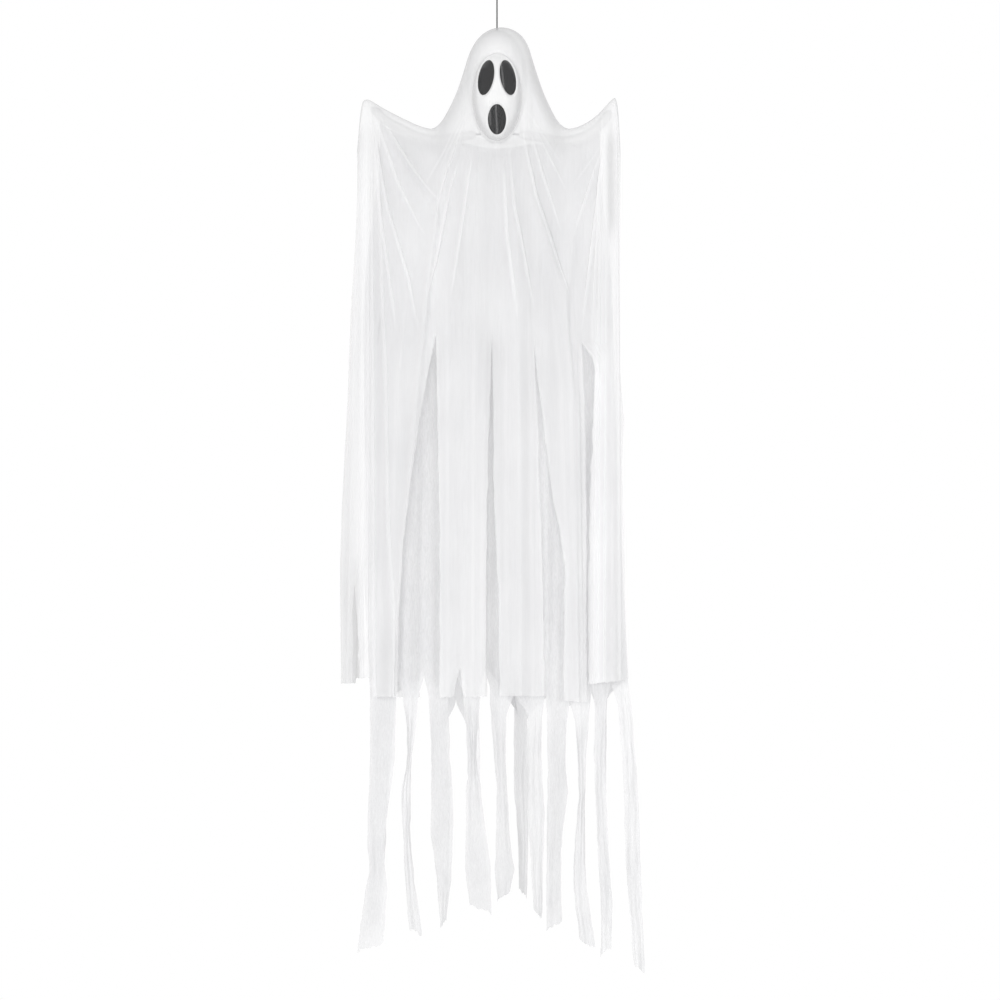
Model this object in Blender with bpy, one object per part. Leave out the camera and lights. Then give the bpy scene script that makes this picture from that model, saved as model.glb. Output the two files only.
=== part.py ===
"""A hanging fabric ghost: a head on a cord, bent arms on one wire, a slit veil and a streamer robe."""

import math

import bmesh
import bpy
import numpy as np
from mathutils import Vector

# Layout: points are given on a picture grid, x to the right and y down, and turned into metres
GRID = 0.0016
CORD_X = 497.0
LOOP_TOP = -30.0

# Face: the bands are the parts of the mask above the eyes, under them and under the mouth
MASK_Z, MASK_X, MASK_HALF = -0.2030, 0.0395, 0.0700
MASK_IN, MASK_OUT, MASK_EDGE = 0.0027, 0.0050, 0.0035
BROW_BAND, NOSE_BAND, CHIN_BAND = 0.0105, 0.0140, 0.0095
EYE_X, EYE_RX, EYE_RZ, EYE_TILT = 0.0176, 0.0122, 0.0285, 0.20
EYE_Z = MASK_Z + MASK_HALF - BROW_BAND - EYE_RZ
MOUTH_RX = 0.0145
MOUTH_RZ = MASK_HALF - EYE_RZ - (BROW_BAND + NOSE_BAND + CHIN_BAND) / 2
MOUTH_Z = MASK_Z - MASK_HALF + CHIN_BAND + MOUTH_RZ
PATCH_IN, PATCH_OUT = 0.0004, 0.0012
PATCH_EXTRA = 0.0022

# Head: its chin lies a little under the mask's
HEAD_Z = -0.176
HEAD_X, HEAD_Y, HEAD_UP = 0.0488, 0.0500, 0.0800
CHIN_MARGIN = 0.0060
HEAD_DOWN = HEAD_Z - MASK_Z + MASK_HALF + CHIN_MARGIN
CUT_PAST = 0.03

# Arms: one wire through the head, with a padded sleeve on each side
GAP = 0.0004
WIRE_R = 0.0014
WIRE_BORE = WIRE_R + GAP + 0.0002
WIRE_Y = 0.0060
WIRE_STRAIGHT = (-0.031, -0.012, 0.012, 0.031)
SLEEVE_R = 0.0070
SLEEVE_BORE = WIRE_R + 2 * GAP
HAND_TIP = 0.0055
HAND_SHARE = 0.74
ARM_LEFT = (
    (371.5, 107.5), (378, 113.5), (386, 120.5), (404, 130), (421, 137.2), (439, 139.7),
    (455, 137.8), (468, 135.4),
)
ARM_RIGHT = (
    (610.5, 110.5), (605, 119), (600, 125), (592, 131.5), (580, 137.5), (564, 140.5),
    (548, 139), (526, 135.4),
)
SLEEVE_ENDS = (475, 520)
ARM_POINTS = 31
WIRE_LEVEL = 134.2
WIRE_Z = -(WIRE_LEVEL - LOOP_TOP) * GRID

# Cord, knots and loop: the lower knot sits under the wire, in a pocket of the head
CORD_R = 0.001
KNOT_Z = -0.0335
KNOT_R, KNOT_HALF = 0.0026, 0.0034
LOOP_HALF_WIDTH = 0.007
LOOP_NARROW = 0.16
LOOP_ENDS = 0.0013
ANCHOR_DROP = 0.0088
ANCHOR_Z = WIRE_Z - ANCHOR_DROP
ANCHOR_R, ANCHOR_HALF = 0.0036, 0.0036
POCKET_SIDE, POCKET_ABOVE = 0.0016, 0.0019

# Veil: the fold line over the arms and the head, then the cuts on each side, top to hem
VEIL_THICK = 0.0010
VEIL_RIDGE = (
    (357, 152), (360, 112), (364, 96), (384, 109), (404, 119), (421, 127), (437, 130),
    (454, 100), (463, 74), (470, 50), (481, 34), (497, 26.5), (514, 29), (527, 41),
    (534, 65), (545, 98), (562, 130), (580, 127), (597, 116), (611, 100), (616, 96.5),
    (618.5, 112), (620.5, 152),
)
VEIL_COLUMNS = (0, 2, 9, 17, 23, 30, 38)
VEIL_RIDGE_X = (357, 359.5, 434, 495, 530, 578, 620.5)
VEIL_ROWS, VEIL_ROWS_BELOW = 8, 5
VEIL_LEVEL = ((341, 330), (436, 333), (492, 336), (534, 338), (581, 342), (629, 342))
VEIL_FRONT = (
    (0, ((152, 357, 357), (208, 354, 354), (274, 352, 352), (330, 350, 350), (411, 347, 347),
         (502, 342, 342), (567, 340, 340), (690, 341, 341))),
    (11, ((330, 357, 357), (583, 354.5, 354.5), (610, 352.5, 356), (690, 353, 358))),
    (8, ((333, 436, 436), (411, 420, 437.5), (476, 408, 439), (541, 400, 440), (601, 396, 440),
         (697, 397, 440))),
    (8, ((336, 492, 492), (398, 490, 493), (502, 487, 494), (580, 486, 498), (697, 485, 500))),
    (8, ((338, 534, 534), (378, 535, 537.5), (427, 538, 544), (489, 539.5, 551),
         (528, 541, 559), (567, 542, 564), (700, 545, 564))),
    (8, ((342, 581, 581), (359, 582.5, 593), (372, 583, 595), (424, 585, 592), (486, 586, 590),
         (600, 586.5, 588.5), (700, 587, 588.5))),
    (0, ((152, 620.5, 620.5), (230, 619, 619), (372, 620, 620), (419, 624, 624),
         (466, 622, 622), (528, 624, 624), (632, 626, 626), (690, 629, 629))),
)
VEIL_BACK = (
    (0, VEIL_FRONT[0][1]),
    (11, ((330, 361, 361), (560, 363, 363), (690, 364, 367))),
    (8, ((333, 432, 432), (420, 425, 434), (560, 420, 436), (697, 419, 437))),
    (8, ((336, 496, 496), (430, 491, 499), (560, 488, 501), (697, 487, 502))),
    (8, ((338, 535, 535), (378, 536, 538), (450, 536, 542), (560, 534, 547), (700, 532, 550))),
    (8, ((342, 583, 583), (420, 580, 590), (560, 577, 592), (700, 576, 594))),
    (0, VEIL_FRONT[6][1]),
)
VEIL_HEM = (
    (341, 683), (353, 683), (357, 678), (368, 678), (373, 697), (485, 697), (500, 696),
    (545, 696), (564, 701), (586, 702), (589, 684), (620, 681), (629, 678),
)

# Depth of the drape either side of the fold line
VEIL_CLEAR = 0.0062
HEAD_DEPTH = HEAD_Y + MASK_OUT + VEIL_CLEAR
ARM_DEPTH = SLEEVE_R + 0.0060
HEAD_SPREAD = 0.072
CAP_SHAPE, CAP_BLEND = 1.5, 0.05
HEM_DEPTH, EDGE_DEPTH, HEM_FALL = 0.046, 0.007, 0.50
BODY_X, BODY_HALF = -0.0192, 0.2336
LAYER_GAP = 0.0045
CAP_ROWS = (0.0, 0.05, 0.17, 0.38, 0.67, 1.0)

# Robe: one sheet, sewn along its fold to the underside of the sleeves, cut into streamers
ROBE_THICK = 0.0010
ROBE_RIDGE = (
    (380, 122.5), (386, 127.6), (404, 136.6), (421, 142.9), (439, 145.1), (455, 143.8),
    (467, 143.6), (480, 147), (497, 148.5), (514, 147.2), (528, 144.4), (548, 144.4),
    (564, 145.9), (580, 143.2), (592, 138.4), (600, 132.6),
)
ROBE_COLUMNS = (0, 3, 6, 9, 12, 15, 18, 21, 24, 27, 30)
ROBE_RIDGE_X = (380, 397, 420, 444, 466.5, 497, 527.5, 548, 568, 585, 600)
ROBE_ROWS, ROBE_ROWS_BELOW = 7, 6
ROBE_LEVEL = ((360, 668), (425, 673), (456, 668), (485, 664), (509, 690), (545, 690),
              (570, 696), (592, 684), (611, 678), (630, 672))
ROBE_LEVEL_BACK = ((360, 668), (424, 671), (440, 690), (456, 699), (470, 690), (486, 664),
                   (505, 690), (545, 692), (570, 694), (592, 684), (611, 678), (630, 672))
ROBE_EDGE_LEFT = ((121, 380), (200, 368), (330, 363), (500, 366), (668, 369))
ROBE_EDGE_RIGHT = ((132, 600), (230, 611), (372, 614), (500, 619), (672, 628))
ROBE_CUTS_FRONT = (397, 424, 456, 485, 514, 545, 570, 592, 611)
ROBE_CUTS_BACK = (424, 456, 486, 548, 590)
STREAMERS_FRONT = (
    ((700, 370, 396), (755, 370, 395), (847, 367, 383), (869, 370, 385), (891, 365, 387),
     (948, 358, 383)),
    ((700, 403, 418), (726, 407, 416), (755, 408, 411.5), (792, 401, 411), (836, 403, 410),
     (880, 405, 414), (932, 409, 422)),
    ((700, 429, 448), (755, 431, 450), (792, 431, 453), (836, 431, 453), (880, 437, 451),
     (924, 440, 446)),
    ((700, 463, 480), (755, 470, 476), (792, 466, 481), (836, 466, 486), (869, 465, 491),
     (909, 470, 491)),
    ((704, 490, 507), (755, 494, 505), (792, 497, 507), (836, 496, 510), (869, 495, 514),
     (896, 497, 510)),
    ((697, 528, 543), (755, 527, 541), (814, 527.5, 545), (870, 531, 543), (915, 534, 542)),
    ((702, 547, 568), (755, 547.5, 565), (792, 548, 568), (836, 547, 562), (880, 546, 561),
     (925, 547, 562)),
    ((702, 573, 590), (755, 578, 586), (795, 579, 585), (858, 574, 585), (891, 574, 587),
     (944, 580, 595)),
    ((700, 595, 606), (754, 594, 604), (814, 596, 607), (858, 598, 609), (902, 601, 612),
     (952, 601, 611)),
    ((679, 615, 629), (726, 620, 633), (792, 624, 638), (836, 625, 640), (880, 627, 641),
     (968, 634, 645)),
)
STREAMERS_BACK = (
    ((720, 374, 394), (800, 371, 388), (880, 369, 383), (925, 366, 381)),
    ((720, 431, 446), (800, 433, 450), (870, 436, 449), (900, 438, 446)),
    ((720, 466, 479), (780, 468, 480), (840, 468, 484), (885, 471, 488)),
    ((697, 514, 527), (792, 514, 527), (836, 518, 528), (893, 519, 527)),
    ((720, 552, 566), (790, 550, 565), (850, 549, 560), (905, 549, 559)),
    ((700, 597, 607), (780, 598, 606), (850, 599, 608), (925, 602, 610)),
)
STREAMER_FLAT = 0.0168
STREAMER_INSET = LAYER_GAP + 0.006
STREAMER_SWAY = 0.006

# Folds: a line down the cloth, then half width, height and lean
VEIL_FOLDS_FRONT = (
    (((362, 98), (356, 300), (347, 690)), 6.0, 0.008, 0.004),
    (((368, 100), (366, 330), (368, 690)), 6.5, 0.010, 0.005),
    (((368, 100), (400, 165), (432, 215), (420, 330), (388, 690)), 8.0, 0.005, 0.002),
    (((468, 108), (440, 170), (428, 240), (418, 330), (384, 690)), 6.0, 0.005, 0.002),
    (((470, 150), (463, 330), (462, 697)), 8.0, 0.006, 0.002),
    (((522, 124), (532, 195), (560, 290), (573, 420), (574, 697)), 6.0, 0.006, 0.003),
    (((512, 150), (518, 300), (520, 697)), 8.0, 0.006, 0.002),
    (((602, 140), (572, 241), (560, 330), (545, 340)), 7.0, 0.005, 0.002),
    (((610, 102), (606, 340), (603, 690)), 6.5, 0.011, 0.006),
    (((615, 110), (613, 400), (618, 690)), 6.0, 0.007, 0.003),
)
VEIL_FOLDS_BACK = (
    (((363, 98), (358, 300), (350, 690)), 7.0, 0.008, 0.003),
    (((378, 110), (392, 330), (386, 690)), 8.0, 0.008, 0.003),
    (((450, 150), (440, 330), (410, 690)), 8.0, 0.006, 0.002),
    (((480, 150), (470, 330), (462, 690)), 8.0, 0.007, 0.002),
    (((515, 150), (522, 330), (516, 690)), 8.0, 0.007, 0.002),
    (((545, 150), (556, 330), (562, 690)), 8.0, 0.006, 0.002),
    (((606, 110), (600, 330), (606, 690)), 8.0, 0.009, 0.003),
)
ROBE_FOLD = 0.008

WHITE_CLOTH = (0.86, 0.86, 0.87, 1.0)
GREY_CLOTH = (0.78, 0.78, 0.79, 1.0)
BLACK = (0.012, 0.012, 0.013, 1.0)


def to_x(grid_x):
    return (np.asarray(grid_x, float) - CORD_X) * GRID


def to_z(grid_y):
    return -(np.asarray(grid_y, float) - LOOP_TOP) * GRID


def read(table, at, column=1):
    """A value from a table whose first entries run upwards."""
    rows = np.asarray(table, float)
    return float(np.interp(at, rows[:, 0], rows[:, column]))


def step(start, end, at):
    t = min(max((at - start) / (end - start), 0.0), 1.0)
    return t * t * (3 - 2 * t)


def add_object(name, verts, faces, colour, rough=0.8, smooth=True):
    mesh = bpy.data.meshes.new(name)
    mesh.from_pydata([tuple(v) for v in verts], [], faces)
    made = bmesh.new()
    made.from_mesh(mesh)
    bmesh.ops.recalc_face_normals(made, faces=made.faces)
    made.to_mesh(mesh)
    made.free()
    if smooth:
        mesh.shade_smooth()
    obj = bpy.data.objects.new(name, mesh)
    bpy.context.scene.collection.objects.link(obj)
    paint(obj, colour, rough)
    return obj


def paint(obj, colour, rough=0.8):
    material = bpy.data.materials.new(obj.name + "_look")
    material.use_nodes = True
    shader = material.node_tree.nodes["Principled BSDF"]
    shader.inputs["Base Color"].default_value = colour
    shader.inputs["Roughness"].default_value = rough
    obj.data.materials.append(material)


def cut(target, cutter):
    cutter.hide_render = True
    cutter.display_type = "WIRE"
    hole = target.modifiers.new("Cut " + cutter.name, "BOOLEAN")
    hole.operation = "DIFFERENCE"
    hole.solver = "EXACT"
    hole.object = cutter


# Cord, knots and loop
def tube_curve(name, points, radius, colour):
    curve = bpy.data.curves.new(name, "CURVE")
    curve.dimensions = "3D"
    curve.bevel_depth = radius
    curve.bevel_resolution = 2
    curve.use_fill_caps = True
    curve.resolution_u = 1
    line = curve.splines.new("POLY")
    line.points.add(len(points) - 1)
    for place, point in zip(line.points, points):
        place.co = (*point, 1.0)
    line.use_smooth = True
    obj = bpy.data.objects.new(name, curve)
    bpy.context.scene.collection.objects.link(obj)
    paint(obj, colour, 0.7)
    return obj


def make_cords():
    top = KNOT_Z - KNOT_HALF - GAP
    bottom = ANCHOR_Z + ANCHOR_HALF + GAP
    count = 48
    route = [(0.0, 0.0, top + (bottom - top) * i / count) for i in range(count + 1)]
    tube_curve("hanging_cord", route, CORD_R, BLACK)
    start = KNOT_Z + KNOT_HALF + GAP
    height = -CORD_R - start
    loop = []
    for i in range(21):
        turn = 2 * math.pi * i / 20
        rise = (1 - math.cos(turn)) / 2
        narrow = LOOP_NARROW + (1 - LOOP_NARROW) * math.sqrt(max(rise, 0.0))
        side = LOOP_HALF_WIDTH * (math.sin(turn) if 0 < i < 20 else 0.0) * narrow
        ends = LOOP_ENDS * (1 - rise) * (1 if i < 10 else -1)
        loop.append((side + ends, 0.0, start + height * rise))
    tube_curve("hanging_loop", loop, CORD_R, BLACK)


def make_knot(name, z, radius, half):
    verts, faces = [(0.0, 0.0, z - half)], []
    rings, around = 5, 12
    for i in range(1, rings):
        tilt = math.pi * i / rings
        for j in range(around):
            turn = 2 * math.pi * j / around
            lump = 1 + 0.10 * math.sin(3 * turn + 2 * tilt)
            r = radius * math.sin(tilt) * lump
            verts.append((r * math.cos(turn), r * math.sin(turn), z - half * math.cos(tilt)))
    verts.append((0.0, 0.0, z + half))
    for j in range(around):
        k = (j + 1) % around
        faces.append((0, 1 + k, 1 + j))
        last = 1 + (rings - 2) * around
        faces.append((last + j, last + k, len(verts) - 1))
        for i in range(rings - 2):
            a, b = 1 + i * around, 1 + (i + 1) * around
            faces.append((a + j, a + k, b + k, b + j))
    add_object(name, verts, faces, BLACK, 0.7)


# Head, face and the black patches
def head_depth(x, z):
    """How far the front of the head stands from its middle plane at x, z."""
    half = HEAD_UP if z > HEAD_Z else HEAD_DOWN
    inside = 1 - (x / HEAD_X) ** 2 - ((z - HEAD_Z) / half) ** 2
    return HEAD_Y * math.sqrt(max(inside, 0.0))


def cylinder(name, radius, start, end, sides=12):
    axis = Vector(end) - Vector(start)
    turn = axis.to_track_quat("Z", "Y")
    verts = []
    for place in (Vector(start), Vector(end)):
        for j in range(sides):
            angle = 2 * math.pi * j / sides
            offset = Vector((radius * math.cos(angle), radius * math.sin(angle), 0))
            verts.append(place + turn @ offset)
    faces = [tuple(range(sides)), tuple(range(sides, 2 * sides))]
    for j in range(sides):
        k = (j + 1) % sides
        faces.append((j, k, sides + k, sides + j))
    return add_object(name, verts, faces, BLACK)


def make_head():
    verts, faces = [(0.0, 0.0, HEAD_Z + HEAD_UP)], []
    rings, around = 12, 22
    for i in range(1, rings):
        tilt = math.pi * i / rings
        half = HEAD_UP if i <= rings / 2 else HEAD_DOWN
        for j in range(around):
            turn = 2 * math.pi * j / around
            verts.append((
                HEAD_X * math.sin(tilt) * math.cos(turn),
                HEAD_Y * math.sin(tilt) * math.sin(turn),
                HEAD_Z + half * math.cos(tilt),
            ))
    verts.append((0.0, 0.0, HEAD_Z - HEAD_DOWN))
    for j in range(around):
        k = (j + 1) % around
        faces.append((0, 1 + j, 1 + k))
        last = 1 + (rings - 2) * around
        faces.append((last + k, last + j, len(verts) - 1))
        for i in range(rings - 2):
            a, b = 1 + i * around, 1 + (i + 1) * around
            faces.append((a + k, a + j, b + j, b + k))
    head = add_object("head_form", verts, faces, WHITE_CLOTH)
    above, below = (0, 0, HEAD_Z + HEAD_UP + CUT_PAST), (0, 0, HEAD_Z - HEAD_DOWN - CUT_PAST)
    cut(head, cylinder("cord_bore", CORD_R + GAP, above, below))
    pocket_top = (0, 0, ANCHOR_Z + ANCHOR_HALF + POCKET_ABOVE)
    cut(head, cylinder("knot_pocket", ANCHOR_R + POCKET_SIDE, pocket_top, below))
    side = HEAD_X + CUT_PAST
    cut(head, cylinder("wire_bore", WIRE_BORE, (-side, WIRE_Y, WIRE_Z), (side, WIRE_Y, WIRE_Z)))


def face_disc(name, centre, radii, tilt, near, far, edge, rings, around, colour, rough):
    """A thin closed oval that follows the head: near and far are its two distances from it."""
    grids = []
    for reach in (near, far):
        rows = []
        for i in range(rings + 1):
            share = i / rings
            reach_here = reach if i < rings else (near if reach == near else edge)
            row = []
            for j in range(around if i else 1):
                turn = 2 * math.pi * j / around
                a, b = radii[0] * share * math.cos(turn), radii[1] * share * math.sin(turn)
                x = centre[0] + a * math.cos(tilt) - b * math.sin(tilt)
                z = centre[1] + a * math.sin(tilt) + b * math.cos(tilt)
                row.append((x, -head_depth(x, z) - reach_here, z))
            rows.append(row)
        grids.append(rows)
    verts, faces, starts = [], [], []
    for rows in grids:
        starts.append([])
        for row in rows:
            starts[-1].append(len(verts))
            verts.extend(row)
    for side in starts:
        for j in range(around):
            k = (j + 1) % around
            faces.append((side[0], side[1] + j, side[1] + k))
            for i in range(1, rings):
                faces.append((side[i] + j, side[i + 1] + j, side[i + 1] + k, side[i] + k))
    for j in range(around):
        k = (j + 1) % around
        a, b = starts[0][rings], starts[1][rings]
        faces.append((a + j, b + j, b + k, a + k))
    return add_object(name, verts, faces, colour, rough)


def oval_cutter(name, centre, radii, tilt):
    verts, sides = [], 22
    for y in (0.0, -HEAD_Y - MASK_OUT - CUT_PAST):
        for j in range(sides):
            turn = 2 * math.pi * j / sides
            a, b = radii[0] * math.cos(turn), radii[1] * math.sin(turn)
            x = centre[0] + a * math.cos(tilt) - b * math.sin(tilt)
            z = centre[1] + a * math.sin(tilt) + b * math.cos(tilt)
            verts.append((x, y, z))
    faces = [tuple(range(sides)), tuple(range(sides, 2 * sides))]
    for j in range(sides):
        k = (j + 1) % sides
        faces.append((j, k, sides + k, sides + j))
    return add_object(name, verts, faces, BLACK)


def make_face():
    mask = face_disc("face_mask", (0.0, MASK_Z), (MASK_X, MASK_HALF), 0.0, MASK_IN, MASK_OUT,
                     MASK_EDGE, 5, 24, WHITE_CLOTH, 0.45)
    openings = (
        ("eye_patch_left", (-EYE_X, EYE_Z), (EYE_RX, EYE_RZ), -EYE_TILT),
        ("eye_patch_right", (EYE_X, EYE_Z), (EYE_RX, EYE_RZ), EYE_TILT),
        ("mouth_patch", (0.0, MOUTH_Z), (MOUTH_RX, MOUTH_RZ), 0.0),
    )
    for name, centre, radii, tilt in openings:
        cut(mask, oval_cutter(name + "_opening", centre, radii, tilt))
        wide = (radii[0] + PATCH_EXTRA, radii[1] + PATCH_EXTRA)
        face_disc(name, centre, wide, tilt, PATCH_IN, PATCH_OUT, PATCH_OUT, 2, 16, BLACK, 0.9)


# Arms
def smooth_line(points, count):
    """Evenly spaced points on a rounded line through the given ones."""
    ends = [2 * points[0] - points[1], *points, 2 * points[-1] - points[-2]]
    fine = []
    for i in range(1, len(ends) - 2):
        a, b, c, d = ends[i - 1 : i + 3]
        for t in np.arange(0, 1, 0.1):
            fine.append(0.5 * (2 * b + (c - a) * t + (2 * a - 5 * b + 4 * c - d) * t**2
                               + (3 * b - a - 3 * c + d) * t**3))
    fine.append(points[-1])
    fine = np.array(fine)
    along = np.concatenate([[0], np.cumsum(np.linalg.norm(np.diff(fine, axis=0), axis=1))])
    places = np.linspace(0, along[-1], count)
    return np.stack([np.interp(places, along, fine[:, k]) for k in range(3)], axis=1)


def arm_points(line):
    return [np.array((to_x(x), WIRE_Y * step(90, 25, abs(x - CORD_X)), to_z(y))) for x, y in line]


def ring(centre, along, radius, sides):
    turn = Vector(along).to_track_quat("Z", "Y")
    found = []
    for j in range(sides):
        angle = 2 * math.pi * j / sides
        offset = Vector((radius * math.cos(angle), radius * math.sin(angle), 0))
        found.append(Vector(centre) + turn @ offset)
    return found


def arm_line():
    """The middle of the wire and its sleeves, from hand to hand through the head."""
    left, right = arm_points(ARM_LEFT), arm_points(ARM_RIGHT)
    middle = [np.array((x, WIRE_Y, WIRE_Z)) for x in WIRE_STRAIGHT]
    return smooth_line(left + middle + right[::-1], ARM_POINTS)


def make_sleeve(name, route):
    """A padded sleeve: a blind tube whose closed end is the hand."""
    sides = 9
    last = len(route) - 1
    tip = route[0] - (route[1] - route[0]) / np.linalg.norm(route[1] - route[0]) * HAND_TIP
    rings = []
    for i, place in enumerate(route):
        along = route[min(i + 1, last)] - route[max(i - 1, 0)]
        rings.append(ring(place, along, SLEEVE_R * (HAND_SHARE if i == 0 else 1.0), sides))
    for i in range(last, 0, -1):
        along = route[min(i + 1, last)] - route[max(i - 1, 0)]
        rings.append(ring(route[i], along, SLEEVE_BORE, sides))
    verts = [Vector(tip)]
    for circle in rings:
        verts.extend(circle)
    end = len(verts)
    verts.append(Vector(route[1]) + (Vector(route[0]) - Vector(route[1])) * 0.4)
    faces = []
    for j in range(sides):
        k = (j + 1) % sides
        faces.append((0, 1 + k, 1 + j))
        for i in range(len(rings) - 1):
            a, b = 1 + i * sides, 1 + (i + 1) * sides
            faces.append((a + j, a + k, b + k, b + j))
        tail = 1 + (len(rings) - 1) * sides
        faces.append((tail + j, tail + k, end))
    add_object(name, verts, faces, WHITE_CLOTH)


def make_arms():
    line = arm_line()
    left = [p for p in line if p[0] < to_x(SLEEVE_ENDS[0])]
    right = [p for p in line[::-1] if p[0] > to_x(SLEEVE_ENDS[1])]
    make_sleeve("arm_sleeve_left", left)
    make_sleeve("arm_sleeve_right", right)
    tube_curve("arm_wire", [tuple(p) for p in line[1:-1]], WIRE_R, (0.35, 0.36, 0.37, 1.0))


# Cloth
class Drape:
    """One cloth folded over a line: a grid with shared points, cut where its seams say."""

    def __init__(self):
        self.verts, self.faces, self.known = [], [], {}

    def point(self, key, place):
        if key not in self.known:
            self.known[key] = len(self.verts)
            self.verts.append(place)
        return self.known[key]


def ridge_places(ridge, columns, anchors):
    """The picture point on the fold line of each column, evenly spaced between the anchors."""
    line = np.asarray(ridge, float)
    along = np.concatenate([[0], np.cumsum(np.hypot(*np.diff(line, axis=0).T))])
    stops = np.interp(anchors, line[:, 0], along)
    places = np.interp(np.arange(columns[-1] + 1), columns, stops)
    return np.interp(places, along, line[:, 0]), np.interp(places, along, line[:, 1])


def bell(x):
    return math.exp(-((float(to_x(x)) / HEAD_SPREAD) ** 2))


def drape_depth(x, y, ridge, inset):
    """How far the cloth hangs from the middle plane at a picture point."""
    depth = ARM_DEPTH + (HEAD_DEPTH - ARM_DEPTH) * bell(x) - inset
    below = max((y - read(ridge, x)) * GRID, 0.0)
    cap = min(below / (depth * CAP_SHAPE), 1.0)
    fall = 1 - math.exp(-max((y - read(VEIL_RIDGE, x)) * GRID, 0.0) / HEM_FALL)
    round_out = math.sqrt(max(1 - ((float(to_x(x)) - BODY_X) / BODY_HALF) ** 2, 0.0))
    widening = (EDGE_DEPTH + (HEM_DEPTH - EDGE_DEPTH) * round_out - inset - depth) * fall
    return depth * math.sqrt(1 - (1 - cap) ** 2) + widening * step(0, CAP_BLEND, below)


def folded(x, y, folds):
    """Height and lean that the folds give the cloth at a picture point."""
    height, lean = 0.0, 0.0
    for line, width, tall, over in folds:
        top, bottom = line[0][1], line[-1][1]
        centre = read([(b, a) for a, b in line], y)
        share = math.exp(-(((x - centre) / width) ** 2)) * step(top, top + 110, y)
        share *= 1 - step(bottom - 5, bottom + 60, y) if bottom < 680 else 1
        height += tall * share
        lean += over * share
    return height, lean


def veil_point(x, y, side, folds):
    height, lean = folded(x, y, folds)
    x = x + lean / GRID
    depth = drape_depth(x, y, VEIL_RIDGE, 0.0) + height
    return (float(to_x(x)), side * depth, float(to_z(y)))


def row_heights(ridge_x, ridge_y, level, inset, rows):
    """Picture heights of a column's rows: over the rounded top first, then down to level."""
    depth = ARM_DEPTH + (HEAD_DEPTH - ARM_DEPTH) * bell(ridge_x) - inset
    cap = depth * CAP_SHAPE / GRID
    near = [ridge_y + cap * share for share in CAP_ROWS]
    rest = rows + 1 - len(near)
    far = [near[-1] + (level - near[-1]) * (i / rest) ** 1.2 for i in range(1, rest + 1)]
    return near + far


def make_veil():
    cloth = Drape()
    ridge_x, ridge_y = ridge_places(VEIL_RIDGE, VEIL_COLUMNS, VEIL_RIDGE_X)
    rows = VEIL_ROWS + VEIL_ROWS_BELOW
    for side, seams, folds in ((-1, VEIL_FRONT, VEIL_FOLDS_FRONT), (1, VEIL_BACK, VEIL_FOLDS_BACK)):
        for p in range(len(VEIL_COLUMNS) - 1):
            first, last = VEIL_COLUMNS[p], VEIL_COLUMNS[p + 1]
            grid = {}
            for c in range(first, last + 1):
                share = (c - first) / (last - first)

                def across(y):
                    return (1 - share) * read(seams[p][1], y, 2) + share * read(seams[p + 1][1], y)

                level = read(VEIL_LEVEL, across(335))
                hem = read(VEIL_HEM, across(690))
                heights = row_heights(ridge_x[c], ridge_y[c], level, 0.0, VEIL_ROWS)
                for j in range(rows + 1):
                    if j <= VEIL_ROWS:
                        y = heights[j]
                    else:
                        y = level + (hem - level) * (j - VEIL_ROWS) / VEIL_ROWS_BELOW
                    settle = step(0, 170, y - ridge_y[c])
                    x = (1 - settle) * ridge_x[c] + settle * across(y)
                    branch = ""
                    if c == first and p and j > seams[p][0]:
                        branch = "right"
                    if c == last and p < len(seams) - 2 and j > seams[p + 1][0]:
                        branch = "left"
                    place = veil_point(x, y, side, folds) if j else veil_point(x, y, 0, folds)
                    key = (side if j else 0, c, j, branch)
                    grid[c, j] = cloth.point(key, place)
            for c in range(first, last):
                for j in range(rows):
                    cloth.faces.append((grid[c, j], grid[c, j + 1], grid[c + 1, j + 1], grid[c + 1, j]))
    veil = add_object("outer_veil", cloth.verts, cloth.faces, WHITE_CLOTH)
    thicken(veil, VEIL_THICK)
    crown = float(to_z(read(VEIL_RIDGE, CORD_X)))
    reach = 10 * VEIL_THICK
    cut(veil, cylinder("veil_cord_hole", CORD_R + GAP, (0, 0, crown + reach), (0, 0, crown - reach)))


def thicken(obj, thickness):
    solid = obj.modifiers.new("Thickness", "SOLIDIFY")
    solid.thickness = thickness
    solid.offset = 0.0
    solid.use_even_offset = False


def robe_point(x, y, side):
    amount = ROBE_FOLD * step(25, 250, y - read(ROBE_RIDGE, x))
    wave = math.sin((x - CORD_X) * 0.235 + side * 0.7) + 0.4 * math.sin((x - CORD_X) * 0.53 + y * 0.006)
    depth = drape_depth(x, y, ROBE_RIDGE, LAYER_GAP) - amount * (1.4 + wave) / 2.8
    return (float(to_x(x)), side * max(depth, 0.0), float(to_z(y)))


def streamer_point(strip, share, y, side, number, top):
    """A point of one streamer, which turns about its own length where it looks narrow."""
    left, right = read(strip, y, 1), read(strip, y, 2)
    half = (right - left) / 2 * GRID
    turned = math.sqrt(max(STREAMER_FLAT**2 - half**2, 0.0))
    flip = 1 if number % 2 else -1
    eased = step(0, 60, y - top)
    depth = side * max(drape_depth((left + right) / 2, y, ROBE_RIDGE, STREAMER_INSET), 2 * ROBE_THICK)
    sway = STREAMER_SWAY * math.sin(0.021 * (y - top) + 1.7 * number) * eased
    y_m = depth + sway + flip * turned * (2 * share - 1) * eased
    return (float(to_x(left + (right - left) * share)), y_m, float(to_z(y)))


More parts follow.
